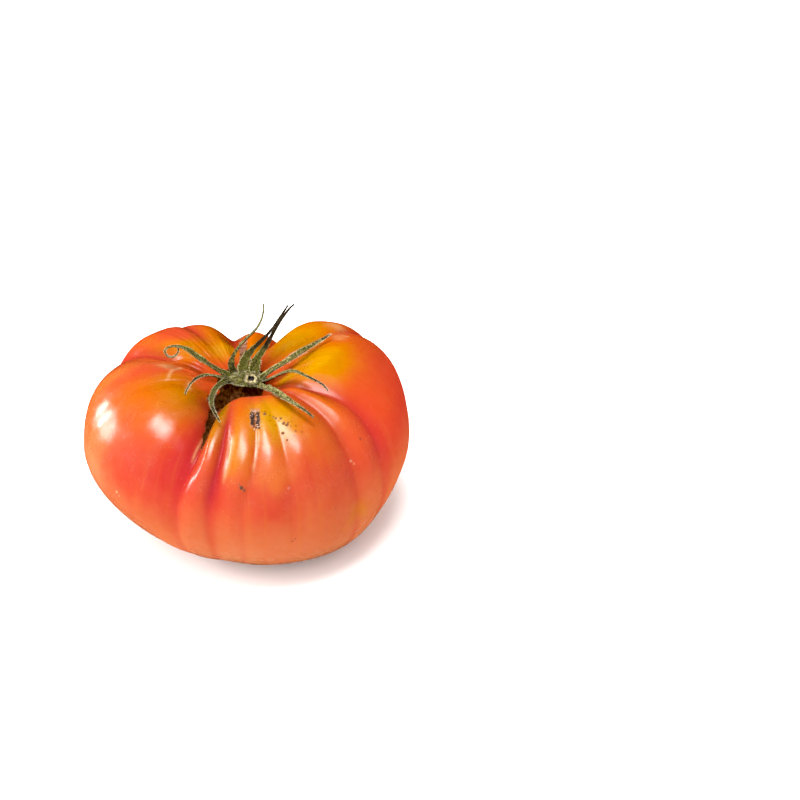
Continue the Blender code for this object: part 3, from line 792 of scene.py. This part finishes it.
def skin_material():
    m = Nodes("tomato_skin", 0.26)
    tint = m.attribute("tint", True)
    cork0 = m.attribute("cork")
    n = m.tree.nodes.new("ShaderNodeAttribute")
    n.attribute_name = "flow"
    flow = n.outputs["Vector"]
    # soft mottling, stripes along the flow and pale pores
    mottle = m.ramp(m.noise(420.0, 3.0, 0.6), 0.30, 0.70)
    col = m.mix(m.math("MULTIPLY", mottle, 0.24), tint, m.mix(1.0, tint, (1.10, 1.34, 1.7), "MULTIPLY"))
    streak = m.ramp(m.noise(1.0, 3.0, 0.6, m.scaled((700.0, 700.0, 90.0), flow)), 0.50, 0.78)
    col = m.mix(m.math("MULTIPLY", streak, 0.16), col, albedo((250, 140, 40)))
    pores = m.ramp(m.cells(900.0), 0.16, 0.05)
    chosen = m.ramp(m.cells(900.0, out="Color"), 0.55, 0.62)
    col = m.mix(m.math("MULTIPLY", m.math("MULTIPLY", pores, chosen), 0.42), col, albedo((252, 176, 110)))
    dark = m.ramp(m.cells(520.0), 0.10, 0.04)
    picked = m.ramp(m.cells(520.0, out="Color"), 0.80, 0.86)
    col = m.mix(m.math("MULTIPLY", m.math("MULTIPLY", dark, picked), 0.30), col, albedo((170, 40, 20)))
    # marks, each with a ragged outline
    warp = m.tree.nodes.new("ShaderNodeVectorMath")
    warp.operation = "MULTIPLY_ADD"
    m.link(m.noise(2300.0, 2.0, 0.6, colour=True), warp.inputs[0])
    warp.inputs[1].default_value = (0.0008,) * 3
    m.link(m.coords, warp.inputs[2])
    shift = np.array((0.0004,) * 3)
    scars = None
    for az, s, r, rgb, amount in MARKS:
        centre = home(fruit_points(az, s)) + shift
        mask = m.ramp(m.near(centre, warp.outputs[0]), r * MM * 1.15, r * MM * 0.55)
        col = m.mix(m.math("MULTIPLY", mask, amount), col, albedo(rgb))
        if r > 0.3:
            scars = mask if scars is None else m.math("MAXIMUM", scars, mask)
    # the dark scar on the front rib, two streaks with pinkish lips
    centre, across, along = scar_frame()
    u = m.along(home(centre), across, warp.outputs[0], shift)
    v = m.along(home(centre), along, warp.outputs[0], shift)
    frayed = m.math("MULTIPLY", m.math("SUBTRACT", m.noise(1100.0, 2.0), 0.5), 0.0012)
    left = m.ramp(m.math("ABSOLUTE", m.math("ADD", m.math("ADD", u, frayed), 0.00074)), 0.00060, 0.00036)
    right = m.ramp(m.math("ABSOLUTE", m.math("SUBTRACT", m.math("ADD", u, frayed), 0.00074)), 0.00054, 0.00032)
    left = m.math("MULTIPLY", left, m.math("MULTIPLY", m.ramp(v, -0.0026, -0.0018), m.ramp(v, 0.0030, 0.0022)))
    right = m.math("MULTIPLY", right, m.math("MULTIPLY", m.ramp(v, -0.0022, -0.0014), m.ramp(v, 0.0036, 0.0028)))
    dark_scar = m.math("MAXIMUM", left, right)
    lips = m.math("MULTIPLY", m.ramp(m.math("ABSOLUTE", m.math("ADD", u, frayed)), 0.00150, 0.00110),
                  m.ramp(m.math("ABSOLUTE", v), 0.0039, 0.0031))
    col = m.mix(m.math("MULTIPLY", lips, 0.50), col, albedo((196, 104, 60)))
    col = m.mix(m.math("MULTIPLY", lips, m.math("MULTIPLY", m.ramp(m.noise(2400.0, 2.0), 0.56, 0.64), 0.7)), col, albedo((240, 180, 150)))
    col = m.mix(m.math("MULTIPLY", dark_scar, 0.94), col, dry((42, 22, 18)))
    scars = m.math("MAXIMUM", scars, lips)
    # painted highlight: the ridges coloured pale, partly paler skin edges
    col = m.mix(m.math("MULTIPLY", m.attribute("ridge"), 0.80), col, albedo((255, 200, 140)))
    # cork lining
    fray = m.noise(1500.0, 4.0, 0.65)
    cork = m.ramp(m.math("ADD", cork0, m.math("MULTIPLY", m.math("SUBTRACT", fray, 0.5), 0.55)), 0.40, 0.62)
    bark = m.noise(800.0, 5.0, 0.7, distortion=0.6)
    cork_col = m.mix(m.ramp(bark, 0.35, 0.70), dry((60, 32, 18)), dry((132, 82, 50)))
    cork_col = m.mix(m.ramp(m.noise(2600.0, 2.0), 0.64, 0.76), cork_col, dry((150, 96, 64)))
    cork_col = m.mix(m.attribute("pink"), cork_col, m.mix(m.ramp(bark, 0.35, 0.65), dry((120, 66, 48)), dry((206, 150, 120))))
    edge = m.math("MULTIPLY", cork, m.math("SUBTRACT", 1.0, cork))
    col = m.mix(cork, col, cork_col)
    col = m.mix(m.math("MULTIPLY", edge, 2.2, clamp=True), col, dry((196, 120, 70)))
    m.link(col, m.shader.inputs["Base Color"])
    rough = m.ramp(m.noise(260.0, 3.0, 0.6), 0.3, 0.7, 0.20, 0.30)
    rough = m.blend(scars, rough, 0.7)
    m.link(m.blend(cork, rough, 0.92), m.shader.inputs["Roughness"])
    fine = m.math("MULTIPLY", m.noise(1400.0, 3.0, 0.6), 0.35)
    fine = m.math("SUBTRACT", fine, m.math("MULTIPLY", pores, 0.16))
    fine = m.math("ADD", fine, m.math("MULTIPLY", scars, 0.8))
    height = m.blend(cork, fine, m.math("MULTIPLY", bark, 7.0))
    m.link(m.bump(height, 0.00010, 0.6), m.shader.inputs["Normal"])
    shine = m.math("MULTIPLY", m.attribute("gloss"), 0.5)
    m.link(m.math("MULTIPLY", shine, m.math("SUBTRACT", 1.0, m.math("MULTIPLY", cork, 0.9))), m.shader.inputs["Specular IOR Level"])
    m.shader.inputs["IOR"].default_value = 1.45
    m.shader.inputs["Subsurface Weight"].default_value = 0.12
    m.shader.inputs["Subsurface Radius"].default_value = (1.0, 0.30, 0.12)
    m.shader.inputs["Subsurface Scale"].default_value = 0.0035
    return m.mat


# ------------------------------------------------------------------- calyx
def smooth_path(foot, length, bearing, pitch, steps):
    """Middle line of a sepal, walked along smoothly changing directions."""
    k = len(bearing)
    u = (np.arange(steps) + 0.5) / steps
    t = np.linspace(0, 1, k)
    fine = np.linspace(0, 1, 8 * (k - 1) + 1)
    soft = np.exp(-((np.arange(-6, 7)) / 3.2) ** 2)
    soft /= soft.sum()

    def ease(values):
        v = np.interp(fine, t, values)
        v = np.concatenate([np.full(6, v[0]), v, np.full(6, v[-1])])
        return np.interp(u, fine, np.convolve(v, soft, mode="valid"))

    b, p = np.radians(ease(bearing)), np.radians(ease(pitch))
    step = np.stack([np.sin(b) * np.cos(p), -np.cos(b) * np.cos(p), np.sin(p)], -1)
    return np.vstack([foot, np.asarray(foot) + np.cumsum(step, 0) * length / steps])


def rooted(line, root, steps=14):
    """The line, led in from the middle of the calyx plate."""
    first = line[1] - line[0]
    first /= np.linalg.norm(first)
    root = np.asarray(root, float)
    reach = np.linalg.norm(line[0] - root)
    t = np.linspace(0, 1, steps + 1)[:-1, None]
    out = line[0] - root
    out /= np.linalg.norm(out)
    lead = bezier(root, root + out * reach * 0.4, line[0] - first * reach * 0.4, line[0], t)
    return np.vstack([lead, line])


def frames(line, twist=0.0):
    tangent = np.gradient(line, axis=0)
    tangent /= np.linalg.norm(tangent, axis=1, keepdims=True)
    side = np.cross(tangent, (0.0, 0.0, 1.0))
    side /= np.linalg.norm(side, axis=1, keepdims=True) + 1e-9
    up = np.cross(side, tangent)
    tw = np.radians(twist)[:, None] if np.ndim(twist) else math.radians(twist)
    s2 = side * np.cos(tw) + up * np.sin(tw)
    u2 = up * np.cos(tw) - side * np.sin(tw)
    return tangent, s2, u2


def blade(name, line, half, thick, cup, seed, twist=0.0):
    """A narrow leaf: keeled underneath, hollowed on top, with uneven edges."""
    n = len(line)
    across = 8
    tangent, side, up = frames(line, twist)
    v = np.linspace(-1, 1, across + 1)
    u = np.linspace(0, 1, n)
    dist = np.concatenate([[0], np.cumsum(np.linalg.norm(np.diff(line, axis=0), axis=1))])
    key = np.stack([dist, dist * 0 + seed, dist * 0], -1)
    left = half * (1 + 0.13 * noise(key, 0.9, seed) + 0.08 * noise(key, 0.35, seed + 1))
    right = half * (1 + 0.13 * noise(key, 0.9, seed + 2) + 0.08 * noise(key, 0.35, seed + 3))
    curl = cup * (1 + 0.5 * noise(key, 2.5, seed + 4))
    pts_top, pts_bot = [], []
    for vv in v:
        w = np.where(vv < 0, left, right) * vv
        lift = curl * half * (vv * vv - 0.25) - 0.10 * half * math.exp(-(vv / 0.16) ** 2)
        bumps = 0.05 * noise(np.stack([dist, w, dist * 0 + seed], -1), 0.5, seed + 5)
        top = line + side * w[:, None] + up * (lift + bumps)[:, None]
        th = thick * (1 - 0.70 * vv * vv) + 0.35 * thick * math.exp(-(vv / 0.2) ** 2)
        pts_top.append(top)
        pts_bot.append(top - up * th)
    ring = pts_top + pts_bot[::-1][1:-1]
    k = len(ring)
    grid = np.stack(ring, 1)
    verts = grid.reshape(-1, 3)
    faces = []
    for i in range(n - 1):
        for j in range(k):
            a, b = i * k + j, i * k + (j + 1) % k
            faces.append((a, b, b + k, a + k))
    c0, c1 = len(verts), len(verts) + 1
    verts = np.vstack([verts, grid[0].mean(0), grid[-1].mean(0)])
    faces += [(c0, (j + 1) % k, j) for j in range(k)]
    faces += [(c1, (n - 1) * k + j, (n - 1) * k + (j + 1) % k) for j in range(k)]
    obj = mesh_object(name, home(verts), faces)
    along = np.concatenate([np.repeat(u, k), [0.0, 1.0]])
    rim = np.abs(np.concatenate([v, v[::-1][1:-1]]))
    value_attribute(obj, "along", along)
    value_attribute(obj, "rim", np.concatenate([np.tile(rim, n), [0.5, 0.5]]))
    return obj, (line, side, up, tangent, half, left, right)


SPIKES = []      # roots, directions, lengths and half widths of all the down


def add_down(root, direction, length, width):
    SPIKES.append((np.atleast_2d(root), np.atleast_2d(direction), np.atleast_1d(length), np.atleast_1d(width)))


def down_on_blade(info, rng, until=1.0, density=8.0, edge=11.0, reach=0.50):
    """Short hairs on the edges and faces of a sepal."""
    line, side, up, tangent, half, left, right = info
    dist = np.concatenate([[0], np.cumsum(np.linalg.norm(np.diff(line, axis=0), axis=1))])
    total = dist[-1] * until

    def at(d, a):
        return np.stack([np.interp(d, dist, a[:, c]) for c in range(3)], -1)

    def unit(a):
        return a / (np.linalg.norm(a, axis=1, keepdims=True) + 1e-9)

    for sign, width in ((-1, left), (1, right)):
        k = int(total * edge)
        d = rng.uniform(0, total, k)
        w = np.interp(d, dist, width)
        root = at(d, line) + at(d, side) * (sign * w * rng.uniform(0.86, 0.98, k))[:, None]
        direction = unit(at(d, side) * sign + at(d, up) * rng.normal(0.1, 0.5, k)[:, None]
                         + at(d, tangent) * rng.normal(0.35, 0.4, k)[:, None])
        add_down(root, direction, reach * rng.uniform(0.35, 1.0, k), np.full(k, 0.050))
    k = int(total * density)
    d = rng.uniform(0, total, k)
    v = rng.uniform(-0.9, 0.9, k)
    w = np.interp(d, dist, half) * v
    face = np.where(rng.random(k) < 0.7, 1.0, -1.0)
    root = at(d, line) + at(d, side) * w[:, None] + at(d, up) * (0.03 * face)[:, None]
    direction = unit(at(d, up) * face[:, None] + at(d, side) * rng.normal(0, 0.6, k)[:, None]
                     + at(d, tangent) * rng.normal(0.4, 0.5, k)[:, None])
    add_down(root, direction, reach * rng.uniform(0.3, 0.7, k), np.full(k, 0.036))


def make_down():
    root = np.vstack([a for a, _, _, _ in SPIKES])
    direction = np.vstack([b for _, b, _, _ in SPIKES])
    length = np.concatenate([c for _, _, c, _ in SPIKES])
    width = np.concatenate([d for _, _, _, d in SPIKES])
    n = len(root)
    helper = np.where(np.abs(direction[:, 2:3]) > 0.9, [[1.0, 0, 0]], [[0, 0, 1.0]])
    a = np.cross(direction, helper)
    a /= np.linalg.norm(a, axis=1, keepdims=True)
    b = np.cross(direction, a)
    verts = np.empty((n, 4, 3))
    for i in range(3):
        t = math.tau * i / 3
        verts[:, i] = root + (a * math.cos(t) + b * math.sin(t)) * width[:, None]
    verts[:, 3] = root + direction * length[:, None]
    base = np.arange(n)[:, None] * 4
    tris = np.concatenate([base + (0, 1, 3), base + (1, 2, 3), base + (2, 0, 3), base + (0, 2, 1)])
    return mesh_object("calyx_down", home(verts.reshape(-1, 3)), tris, False)


# name: share of dark, lightness of the speckles, cup, thickness, width along it, share of the length with down
SEPAL_LOOK = {
    "sepal_left_curled": dict(dark=0.12, light=0.15, cup=0.55, thick=0.30, taper=((0, 1.7), (0.10, 1.25), (0.28, 1.05), (0.46, 0.95), (0.57, 0.6), (0.67, 0.30), (1, 0.16))),
    "sepal_left_thin": dict(dark=0.45, cup=0.5, thick=0.26, taper=((0, 1.9), (0.15, 1.2), (0.4, 1.15), (0.62, 0.85), (0.72, 0.42), (1, 0.24))),
    "sepal_front_left": dict(dark=0.15, cup=0.6, thick=0.30, taper=((0, 1.7), (0.15, 1.15), (0.4, 1.0), (0.7, 0.72), (0.85, 0.42), (1, 0.16))),
    "sepal_rear_thin": dict(dark=0.10, cup=0.35, thick=0.34, down=0.12, taper=((0, 1.45), (0.14, 1.0), (0.28, 0.66), (0.45, 0.54), (0.7, 0.48), (1, 0.32))),
    "sepal_rear_left": dict(dark=0.86, light=0.2, down=0.25, cup=0.3, thick=0.30, taper=((0, 1.55), (0.16, 1.30), (0.32, 0.90), (0.5, 0.55), (0.75, 0.40), (1, 0.14))),
    "sepal_rear_right": dict(dark=0.82, light=0.2, down=0.25, cup=0.3, thick=0.30, taper=((0, 1.45), (0.16, 1.25), (0.32, 0.92), (0.5, 0.62), (0.75, 0.45), (1, 0.14))),
    "sepal_right_long": dict(dark=0.05, light=0.7, cup=0.55, thick=0.30, taper=((0, 1.5), (0.15, 1.1), (0.4, 1.15), (0.6, 0.95), (0.8, 0.6), (0.95, 0.3), (1, 0.12))),
    "sepal_right_arched": dict(dark=0.25, cup=0.5, thick=0.26, taper=((0, 1.9), (0.15, 1.1), (0.4, 1.0), (0.6, 0.75), (0.8, 0.5), (1, 0.2))),
    "sepal_front_right": dict(dark=0.08, light=1.0, cup=0.5, thick=0.30, taper=((0, 1.2), (0.2, 1.15), (0.35, 1.2), (0.55, 0.95), (0.75, 0.62), (0.92, 0.35), (1, 0.12))),
}


def leaf_material(name, dark, light=0.5):
    """Dry downy leaf: speckled olive, cream at the rim as pale down with a painted highlight, browner towards the tip.
    """
    m = Nodes(name, 0.85)
    along, rim = m.attribute("along"), m.attribute("rim")
    grain = m.noise(2000.0, 3.0, 0.8)
    patch = m.noise(420.0, 3.0, 0.6)
    green = m.mix(m.ramp(grain, 0.38, 0.50), dry((22, 18, 2)), dry((94, 88, 24)))
    green = m.mix(m.ramp(grain, 0.57 - 0.07 * light, 0.66 - 0.07 * light), green,
                  dry((150 + 56 * light, 142 + 52 * light, 74 + 50 * light)))
    green = m.mix(m.math("MULTIPLY", m.ramp(patch, 0.45, 0.70), 0.35), green, dry((104, 112, 30)))
    brown = m.mix(m.ramp(grain, 0.42, 0.68), dry((18, 10, 2)), dry((82, 58, 24)))
    where = m.math("ADD", along, m.math("MULTIPLY", m.math("SUBTRACT", patch, 0.5), 0.30))
    turn = 0.92 - 0.66 * dark
    col = m.mix(m.ramp(where, turn - 0.12, turn + 0.12), green, brown)
    # cream rim: pale down, partly a painted highlight on the lit edges
    pale = m.ramp(m.math("ADD", rim, m.math("MULTIPLY", m.math("SUBTRACT", grain, 0.5), 0.8)), 0.83, 0.97)
    keep = m.ramp(where, turn - 0.10, turn + 0.15, 0.90, 0.10)
    col = m.mix(m.math("MULTIPLY", pale, keep), col, dry((218, 204, 142)))
    vein = m.ramp(rim, 0.16, 0.03)
    col = m.mix(m.math("MULTIPLY", vein, 0.25), col, dry((40, 36, 10)))
    m.link(col, m.shader.inputs["Base Color"])
    m.link(m.bump(grain, 0.00025, 0.9), m.shader.inputs["Normal"])
    m.shader.inputs["Specular IOR Level"].default_value = 0.15
    return m.mat


def pale_leaf_material():
    m = Nodes("dry_pale_leaf", 0.8)
    along, rim = m.attribute("along"), m.attribute("rim")
    grain = m.noise(1700.0, 4.0, 0.75)
    base = m.mix(m.ramp(grain, 0.38, 0.66), dry((74, 66, 28)), dry((150, 142, 88)))
    foot = m.mix(m.ramp(grain, 0.40, 0.62), dry((30, 24, 6)), dry((112, 104, 42)))
    col = m.mix(m.ramp(along, 0.26, 0.50), foot, base)
    # pale rim: partly a painted highlight on the lit edges
    pale = m.ramp(m.math("ADD", rim, m.math("MULTIPLY", m.math("SUBTRACT", grain, 0.5), 0.8)), 0.88, 1.02)
    col = m.mix(m.math("MULTIPLY", pale, 0.7), col, dry((190, 176, 118)))
    m.link(col, m.shader.inputs["Base Color"])
    m.link(m.bump(grain, 0.00012, 0.8), m.shader.inputs["Normal"])
    m.shader.inputs["Specular IOR Level"].default_value = 0.15
    return m.mat


def down_material():
    m = Nodes("pale_down", 0.6)
    col = m.mix(m.ramp(m.noise(600.0, 2.0), 0.35, 0.65), dry((214, 200, 140)), dry((244, 236, 196)))
    m.link(col, m.shader.inputs["Base Color"])
    return m.mat


def make_plate(rng):
    """The knotted middle of the calyx where the sepals run together."""
    nu, nv = 96, 16
    az = np.arange(nu) * math.tau / nu
    prof = ((0.0, 0.0), (0.25, 0.02), (0.5, 0.0), (0.7, -0.06), (0.85, -0.16), (0.96, -0.36),
            (1.0, -0.60), (0.96, -0.85), (0.85, -1.05), (0.7, -1.2), (0.5, -1.4), (0.25, -1.55), (0.0, -1.6))
    r0 = np.array([a for a, _ in prof])
    z0 = np.array([b for _, b in prof])
    verts, cols = [], []
    for i, t in enumerate(az):
        rad = 1.0 + 0.05 * math.sin(9 * t + 0.6) + 0.04 * math.sin(5 * t + 1.0)
        x = PLATE_CENTRE[0] + 4.6 * rad * r0 * math.sin(t)
        y = PLATE_CENTRE[1] - 4.1 * rad * r0 * math.cos(t)
        z = PLATE_TOP + z0
        verts.append(np.stack([x, y, z], -1))
    verts = np.array(verts)
    up = np.where(z0 > -0.7, 1.0, -0.6)
    key = verts.reshape(-1, 3)
    verts[..., 2] += (0.22 * fbm(key, 1.3, 81) + 0.10 * fbm(key, 0.5, 83)).reshape(nu, -1) * up
    k = len(prof)
    m = k - 2
    top, bot = verts[:, 0].mean(0), verts[:, -1].mean(0)
    flat = np.vstack([top, bot, verts[:, 1:-1].reshape(-1, 3)])
    faces = []
    for i in range(nu):
        j = (i + 1) % nu
        faces.append((0, 2 + i * m, 2 + j * m))
        faces.append((1, 2 + j * m + m - 1, 2 + i * m + m - 1))
        for q in range(m - 1):
            faces.append((2 + i * m + q, 2 + i * m + q + 1, 2 + j * m + q + 1, 2 + j * m + q))
    obj = mesh_object("calyx_middle", home(flat), faces)
    rim = np.concatenate([[0, 0], np.tile(r0[1:-1] ** 2 * 0.8, nu)])
    value_attribute(obj, "rim", rim)
    value_attribute(obj, "along", np.zeros(len(flat)))
    # down on it
    n = 1300
    t = rng.uniform(0, math.tau, n)
    r = np.sqrt(rng.uniform(0, 1, n))
    root = np.stack([PLATE_CENTRE[0] + 4.6 * r * np.sin(t), PLATE_CENTRE[1] - 4.1 * r * np.cos(t),
                     PLATE_TOP - 0.05 - 0.30 * r ** 6], -1)
    d = np.stack([np.sin(t) * r + rng.normal(0, 0.5, n), -np.cos(t) * r + rng.normal(0, 0.5, n),
                  np.full(n, 0.9)], -1)
    d /= np.linalg.norm(d, axis=1, keepdims=True)
    add_down(root, d, rng.uniform(0.15, 0.45, n), np.full(n, 0.040))
    n = 420
    t = rng.uniform(-1.2, 1.3, n)
    root = np.stack([PLATE_CENTRE[0] + 4.6 * np.sin(t), PLATE_CENTRE[1] - 4.1 * np.cos(t),
                     PLATE_TOP - rng.uniform(0.35, 0.8, n)], -1)
    d = np.stack([np.sin(t) + rng.normal(0, 0.3, n), -np.cos(t) + rng.normal(0, 0.3, n), rng.normal(-0.1, 0.3, n)], -1)
    d /= np.linalg.norm(d, axis=1, keepdims=True)
    add_down(root, d, rng.uniform(0.2, 0.5, n), np.full(n, 0.060))
    return obj


def make_stub():
    """The broken end of the stalk: a straw-coloured ring round a shallow hollow painted near black as painted shade."""
    prof = ((0.0, 0.05), (0.45, 0.05), (0.66, 0.15), (0.76, 0.42), (0.86, 0.66), (1.04, 0.80),
            (1.30, 0.84), (1.60, 0.76), (1.90, 0.62), (2.14, 0.36), (2.28, 0.05), (2.34, -0.35), (2.2, -0.9), (0.0, -0.9))
    nu = 72
    r0 = np.array([a for a, _ in prof])
    z0 = np.array([b for _, b in prof])
    tilt = math.radians(19.0)
    rows = []
    for i in range(nu):
        t = i * math.tau / nu
        wob = 1 + 0.07 * math.sin(2 * t + 0.5) + 0.05 * math.sin(5 * t + 1.7)
        r = r0 * (1 + (wob - 1) * np.clip(r0 - 0.4, 0, 1))
        lip = 0.16 * math.sin(3 * t + 2.0) + 0.12 * math.sin(7 * t)
        z = z0 + lip * np.clip((z0 - 0.3) / 0.5, 0, 1)
        x, y = r * math.sin(t), -r * math.cos(t)
        y2 = y * math.cos(tilt) - z * math.sin(tilt)
        z2 = z * math.cos(tilt) + y * math.sin(tilt)
        rows.append(np.stack([x, y2, z2], -1))
    g = np.array(rows)
    key = g.reshape(-1, 3) + 50.0
    g += (0.10 * fbm(key, 0.7, 91)).reshape(nu, -1, 1) * np.clip(r0 - 0.5, 0, 1)[None, :, None]
    g += np.array([STUB_CENTRE[0], STUB_CENTRE[1], PLATE_TOP + 0.20])
    k = len(prof)
    m = k - 2
    flat = np.vstack([g[:, 0].mean(0), g[:, -1].mean(0), g[:, 1:-1].reshape(-1, 3)])
    faces = []
    for i in range(nu):
        j = (i + 1) % nu
        faces.append((0, 2 + i * m, 2 + j * m))
        faces.append((1, 2 + j * m + m - 1, 2 + i * m + m - 1))
        for q in range(m - 1):
            faces.append((2 + i * m + q, 2 + i * m + q + 1, 2 + j * m + q + 1, 2 + j * m + q))
    obj = mesh_object("stalk_ring", home(flat), faces)
    hollow = np.clip(1.0 - (r0 - 0.78) / 0.24, 0, 1)
    value_attribute(obj, "hollow", np.concatenate([[1, 0], np.tile(hollow[1:-1], nu)]))
    green = np.clip((r0 - 1.55) / 0.5, 0, 1)
    value_attribute(obj, "green", np.concatenate([[0, 1], np.tile(green[1:-1], nu)]))
    m2 = Nodes("broken_stalk", 0.75)
    grain = m2.noise(1500.0, 4.0, 0.7)
    straw = m2.mix(m2.ramp(grain, 0.40, 0.60), dry((96, 70, 24)), dry((240, 222, 158)))
    blotch = m2.ramp(m2.noise(700.0, 3.0, 0.6), 0.50, 0.60)
    straw = m2.mix(m2.math("MULTIPLY", blotch, 0.7), straw, dry((92, 62, 26)))
    leaf = m2.mix(m2.ramp(grain, 0.38, 0.66), dry((34, 26, 8)), dry((132, 122, 54)))
    col = m2.mix(m2.attribute("green"), straw, leaf)
    # the hollow painted near black: painted shade of the hole
    pit = m2.math("ADD", m2.attribute("hollow"), m2.math("MULTIPLY", m2.math("SUBTRACT", grain, 0.5), 0.6))
    col = m2.mix(m2.ramp(pit, 0.35, 0.6), col, dry((26, 14, 8)))
    m2.link(col, m2.shader.inputs["Base Color"])
    m2.link(m2.bump(grain, 0.00020, 0.9), m2.shader.inputs["Normal"])
    obj.data.materials.append(m2.mat)
    return obj


def make_calyx():
    rng = np.random.default_rng(7)
    pieces = []
    for number, (name, foot, length, width, bearing, pitch) in enumerate(SEPALS):
        look = SEPAL_LOOK[name]
        line = smooth_path(foot, length, bearing, pitch, 110)
        away = np.array([foot[0] - PLATE_CENTRE[0], foot[1] - PLATE_CENTRE[1]])
        away /= np.linalg.norm(away)
        root = (PLATE_CENTRE[0] + away[0] * 1.6, PLATE_CENTRE[1] + away[1] * 1.4, PLATE_TOP - 0.25)
        lead = rooted(line, root)
        extra = len(lead) - len(line)
        u = np.concatenate([np.zeros(extra), np.linspace(0, 1, len(line))])
        grow = np.concatenate([np.linspace(1.0, 1.0, extra), np.ones(len(line))])
        half = 0.5 * width * np.interp(u, [a for a, _ in look["taper"]], [b for _, b in look["taper"]]) * grow
        half = np.maximum(half, 0.09)
        obj, info = blade(name + "_leaf", lead, half, look["thick"], look["cup"], 100 + 20 * number)
        mat = pale_leaf_material() if name == "sepal_rear_thin" else leaf_material(name + "_leaf", look["dark"], look.get("light", 0.5))
        obj.data.materials.append(mat)
        down_on_blade(info, rng, look.get("down", 1.0))
        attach(obj, "root")
        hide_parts(name)
        pieces.append(obj)
    plate = make_plate(rng)
    plate.data.materials.append(leaf_material("calyx_middle", 0.05, 0.4))
    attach(plate, "root")
    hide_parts("calyx_plate")
    stub = make_stub()
    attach(stub, "root")
    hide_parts("pedicel_stub")
    down = make_down()
    down.data.materials.append(down_material())
    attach(down, "root")


# ------------------------------------------------------------ studio
def make_studio():
    mesh = bpy.data.meshes.new("floor")
    r = 3.0
    mesh.from_pydata([(-r, -r, 0), (r, -r, 0), (r, r, 0), (-r, r, 0)], [], [(0, 1, 2, 3)])
    floor = bpy.data.objects.new("floor", mesh)
    bpy.context.scene.collection.objects.link(floor)
    m = Nodes("white_table", 0.75)
    speck = m.noise(60.0, 2.0)
    m.link(m.mix(m.ramp(speck, 0.3, 0.7), (0.89, 0.89, 0.89), (0.91, 0.91, 0.91)), m.shader.inputs["Base Color"])
    m.shader.inputs["Specular IOR Level"].default_value = 0.2
    mesh.materials.append(m.mat)
    floor.visible_glossy = False

    def softbox(name, azimuth, elevation, distance, width, height, power, target=(0, 0, 0.035), colour=(1, 1, 1)):
        data = bpy.data.lights.new(name, "AREA")
        data.shape = "RECTANGLE"
        data.size, data.size_y = width, height
        data.energy = power
        data.color = colour
        obj = bpy.data.objects.new(name, data)
        bpy.context.scene.collection.objects.link(obj)
        a, e = math.radians(azimuth), math.radians(elevation)
        d = np.array([math.sin(a) * math.cos(e), -math.cos(a) * math.cos(e), math.sin(e)])
        pos = np.array(target) + d * distance
        obj.location = [float(x) for x in pos]
        from mathutils import Vector
        obj.rotation_euler = Vector([float(x) for x in -d]).to_track_quat("-Z", "Y").to_euler()
        obj.visible_camera = False
        return obj

    softbox("key", -32, 79, 1.1, 0.84, 0.40, 22.0)
    softbox("window_left", -122, 8, 1.0, 0.11, 0.34, 3.8)
    softbox("window_left_2", -106, 12, 1.0, 0.13, 0.36, 3.8)

    world = bpy.data.worlds.new("studio")
    world.use_nodes = True
    # white walls in front and to the left, a darker room behind and to the right
    tree = world.node_tree
    back = tree.nodes["Background"]
    back.inputs["Color"].default_value = (1.0, 1.0, 1.0, 1.0)
    where = tree.nodes.new("ShaderNodeTexCoord")
    side = tree.nodes.new("ShaderNodeVectorMath")
    side.operation = "DOT_PRODUCT"
    side.inputs[1].default_value = (-0.76, -0.64, -0.10)
    tree.links.new(where.outputs["Generated"], side.inputs[0])
    level = tree.nodes.new("ShaderNodeMapRange")
    level.interpolation_type = "SMOOTHSTEP"
    for key, v in (("From Min", -0.25), ("From Max", 0.75), ("To Min", 0.80), ("To Max", 3.7)):
        level.inputs[key].default_value = v
    tree.links.new(side.outputs["Value"], level.inputs["Value"])
    tree.links.new(level.outputs["Result"], back.inputs["Strength"])
    world.cycles_visibility.glossy = False
    bpy.context.scene.world = world
    view = bpy.context.scene.view_settings
    view.view_transform = "Standard"
    view.look = "None"
    view.exposure = 0.0
    view.gamma = 1.0
    view.use_curve_mapping = True
    view.curve_mapping.black_level = (0.008, 0.008, 0.008)
    view.curve_mapping.update()


def make_camera():
    elevation, distance, focal = 31.0, 625.0, 2222.0
    e = math.radians(elevation)
    fwd = np.array([0.0, math.cos(e), -math.sin(e)])
    up = np.array([0.0, math.sin(e), math.cos(e)])
    right = np.array([1.0, 0.0, 0.0])
    aim = np.array([-MIDDLE[0], -MIDDLE[1], 24.0])
    pixel = (246.5, 442.0)
    place = (aim - fwd * distance - right * (pixel[0] - 400.0) / focal * distance
             + up * (pixel[1] - 400.0) / focal * distance)
    data = bpy.data.cameras.new("camera")
    data.lens = focal * 36.0 / 800.0
    data.sensor_width = 36.0
    data.clip_start = 0.01
    data.clip_end = 20.0
    cam = bpy.data.objects.new("camera", data)
    bpy.context.scene.collection.objects.link(cam)
    cam.location = [float(x) * MM for x in place]
    cam.rotation_euler = (math.pi / 2 - e, 0.0, 0.0)
    bpy.context.scene.camera = cam


skin = make_skin()
skin.data.materials.append(skin_material())
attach(skin, "root")
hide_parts("fruit")
flakes = make_flakes()
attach(flakes, "root")
make_calyx()
make_studio()
make_camera()
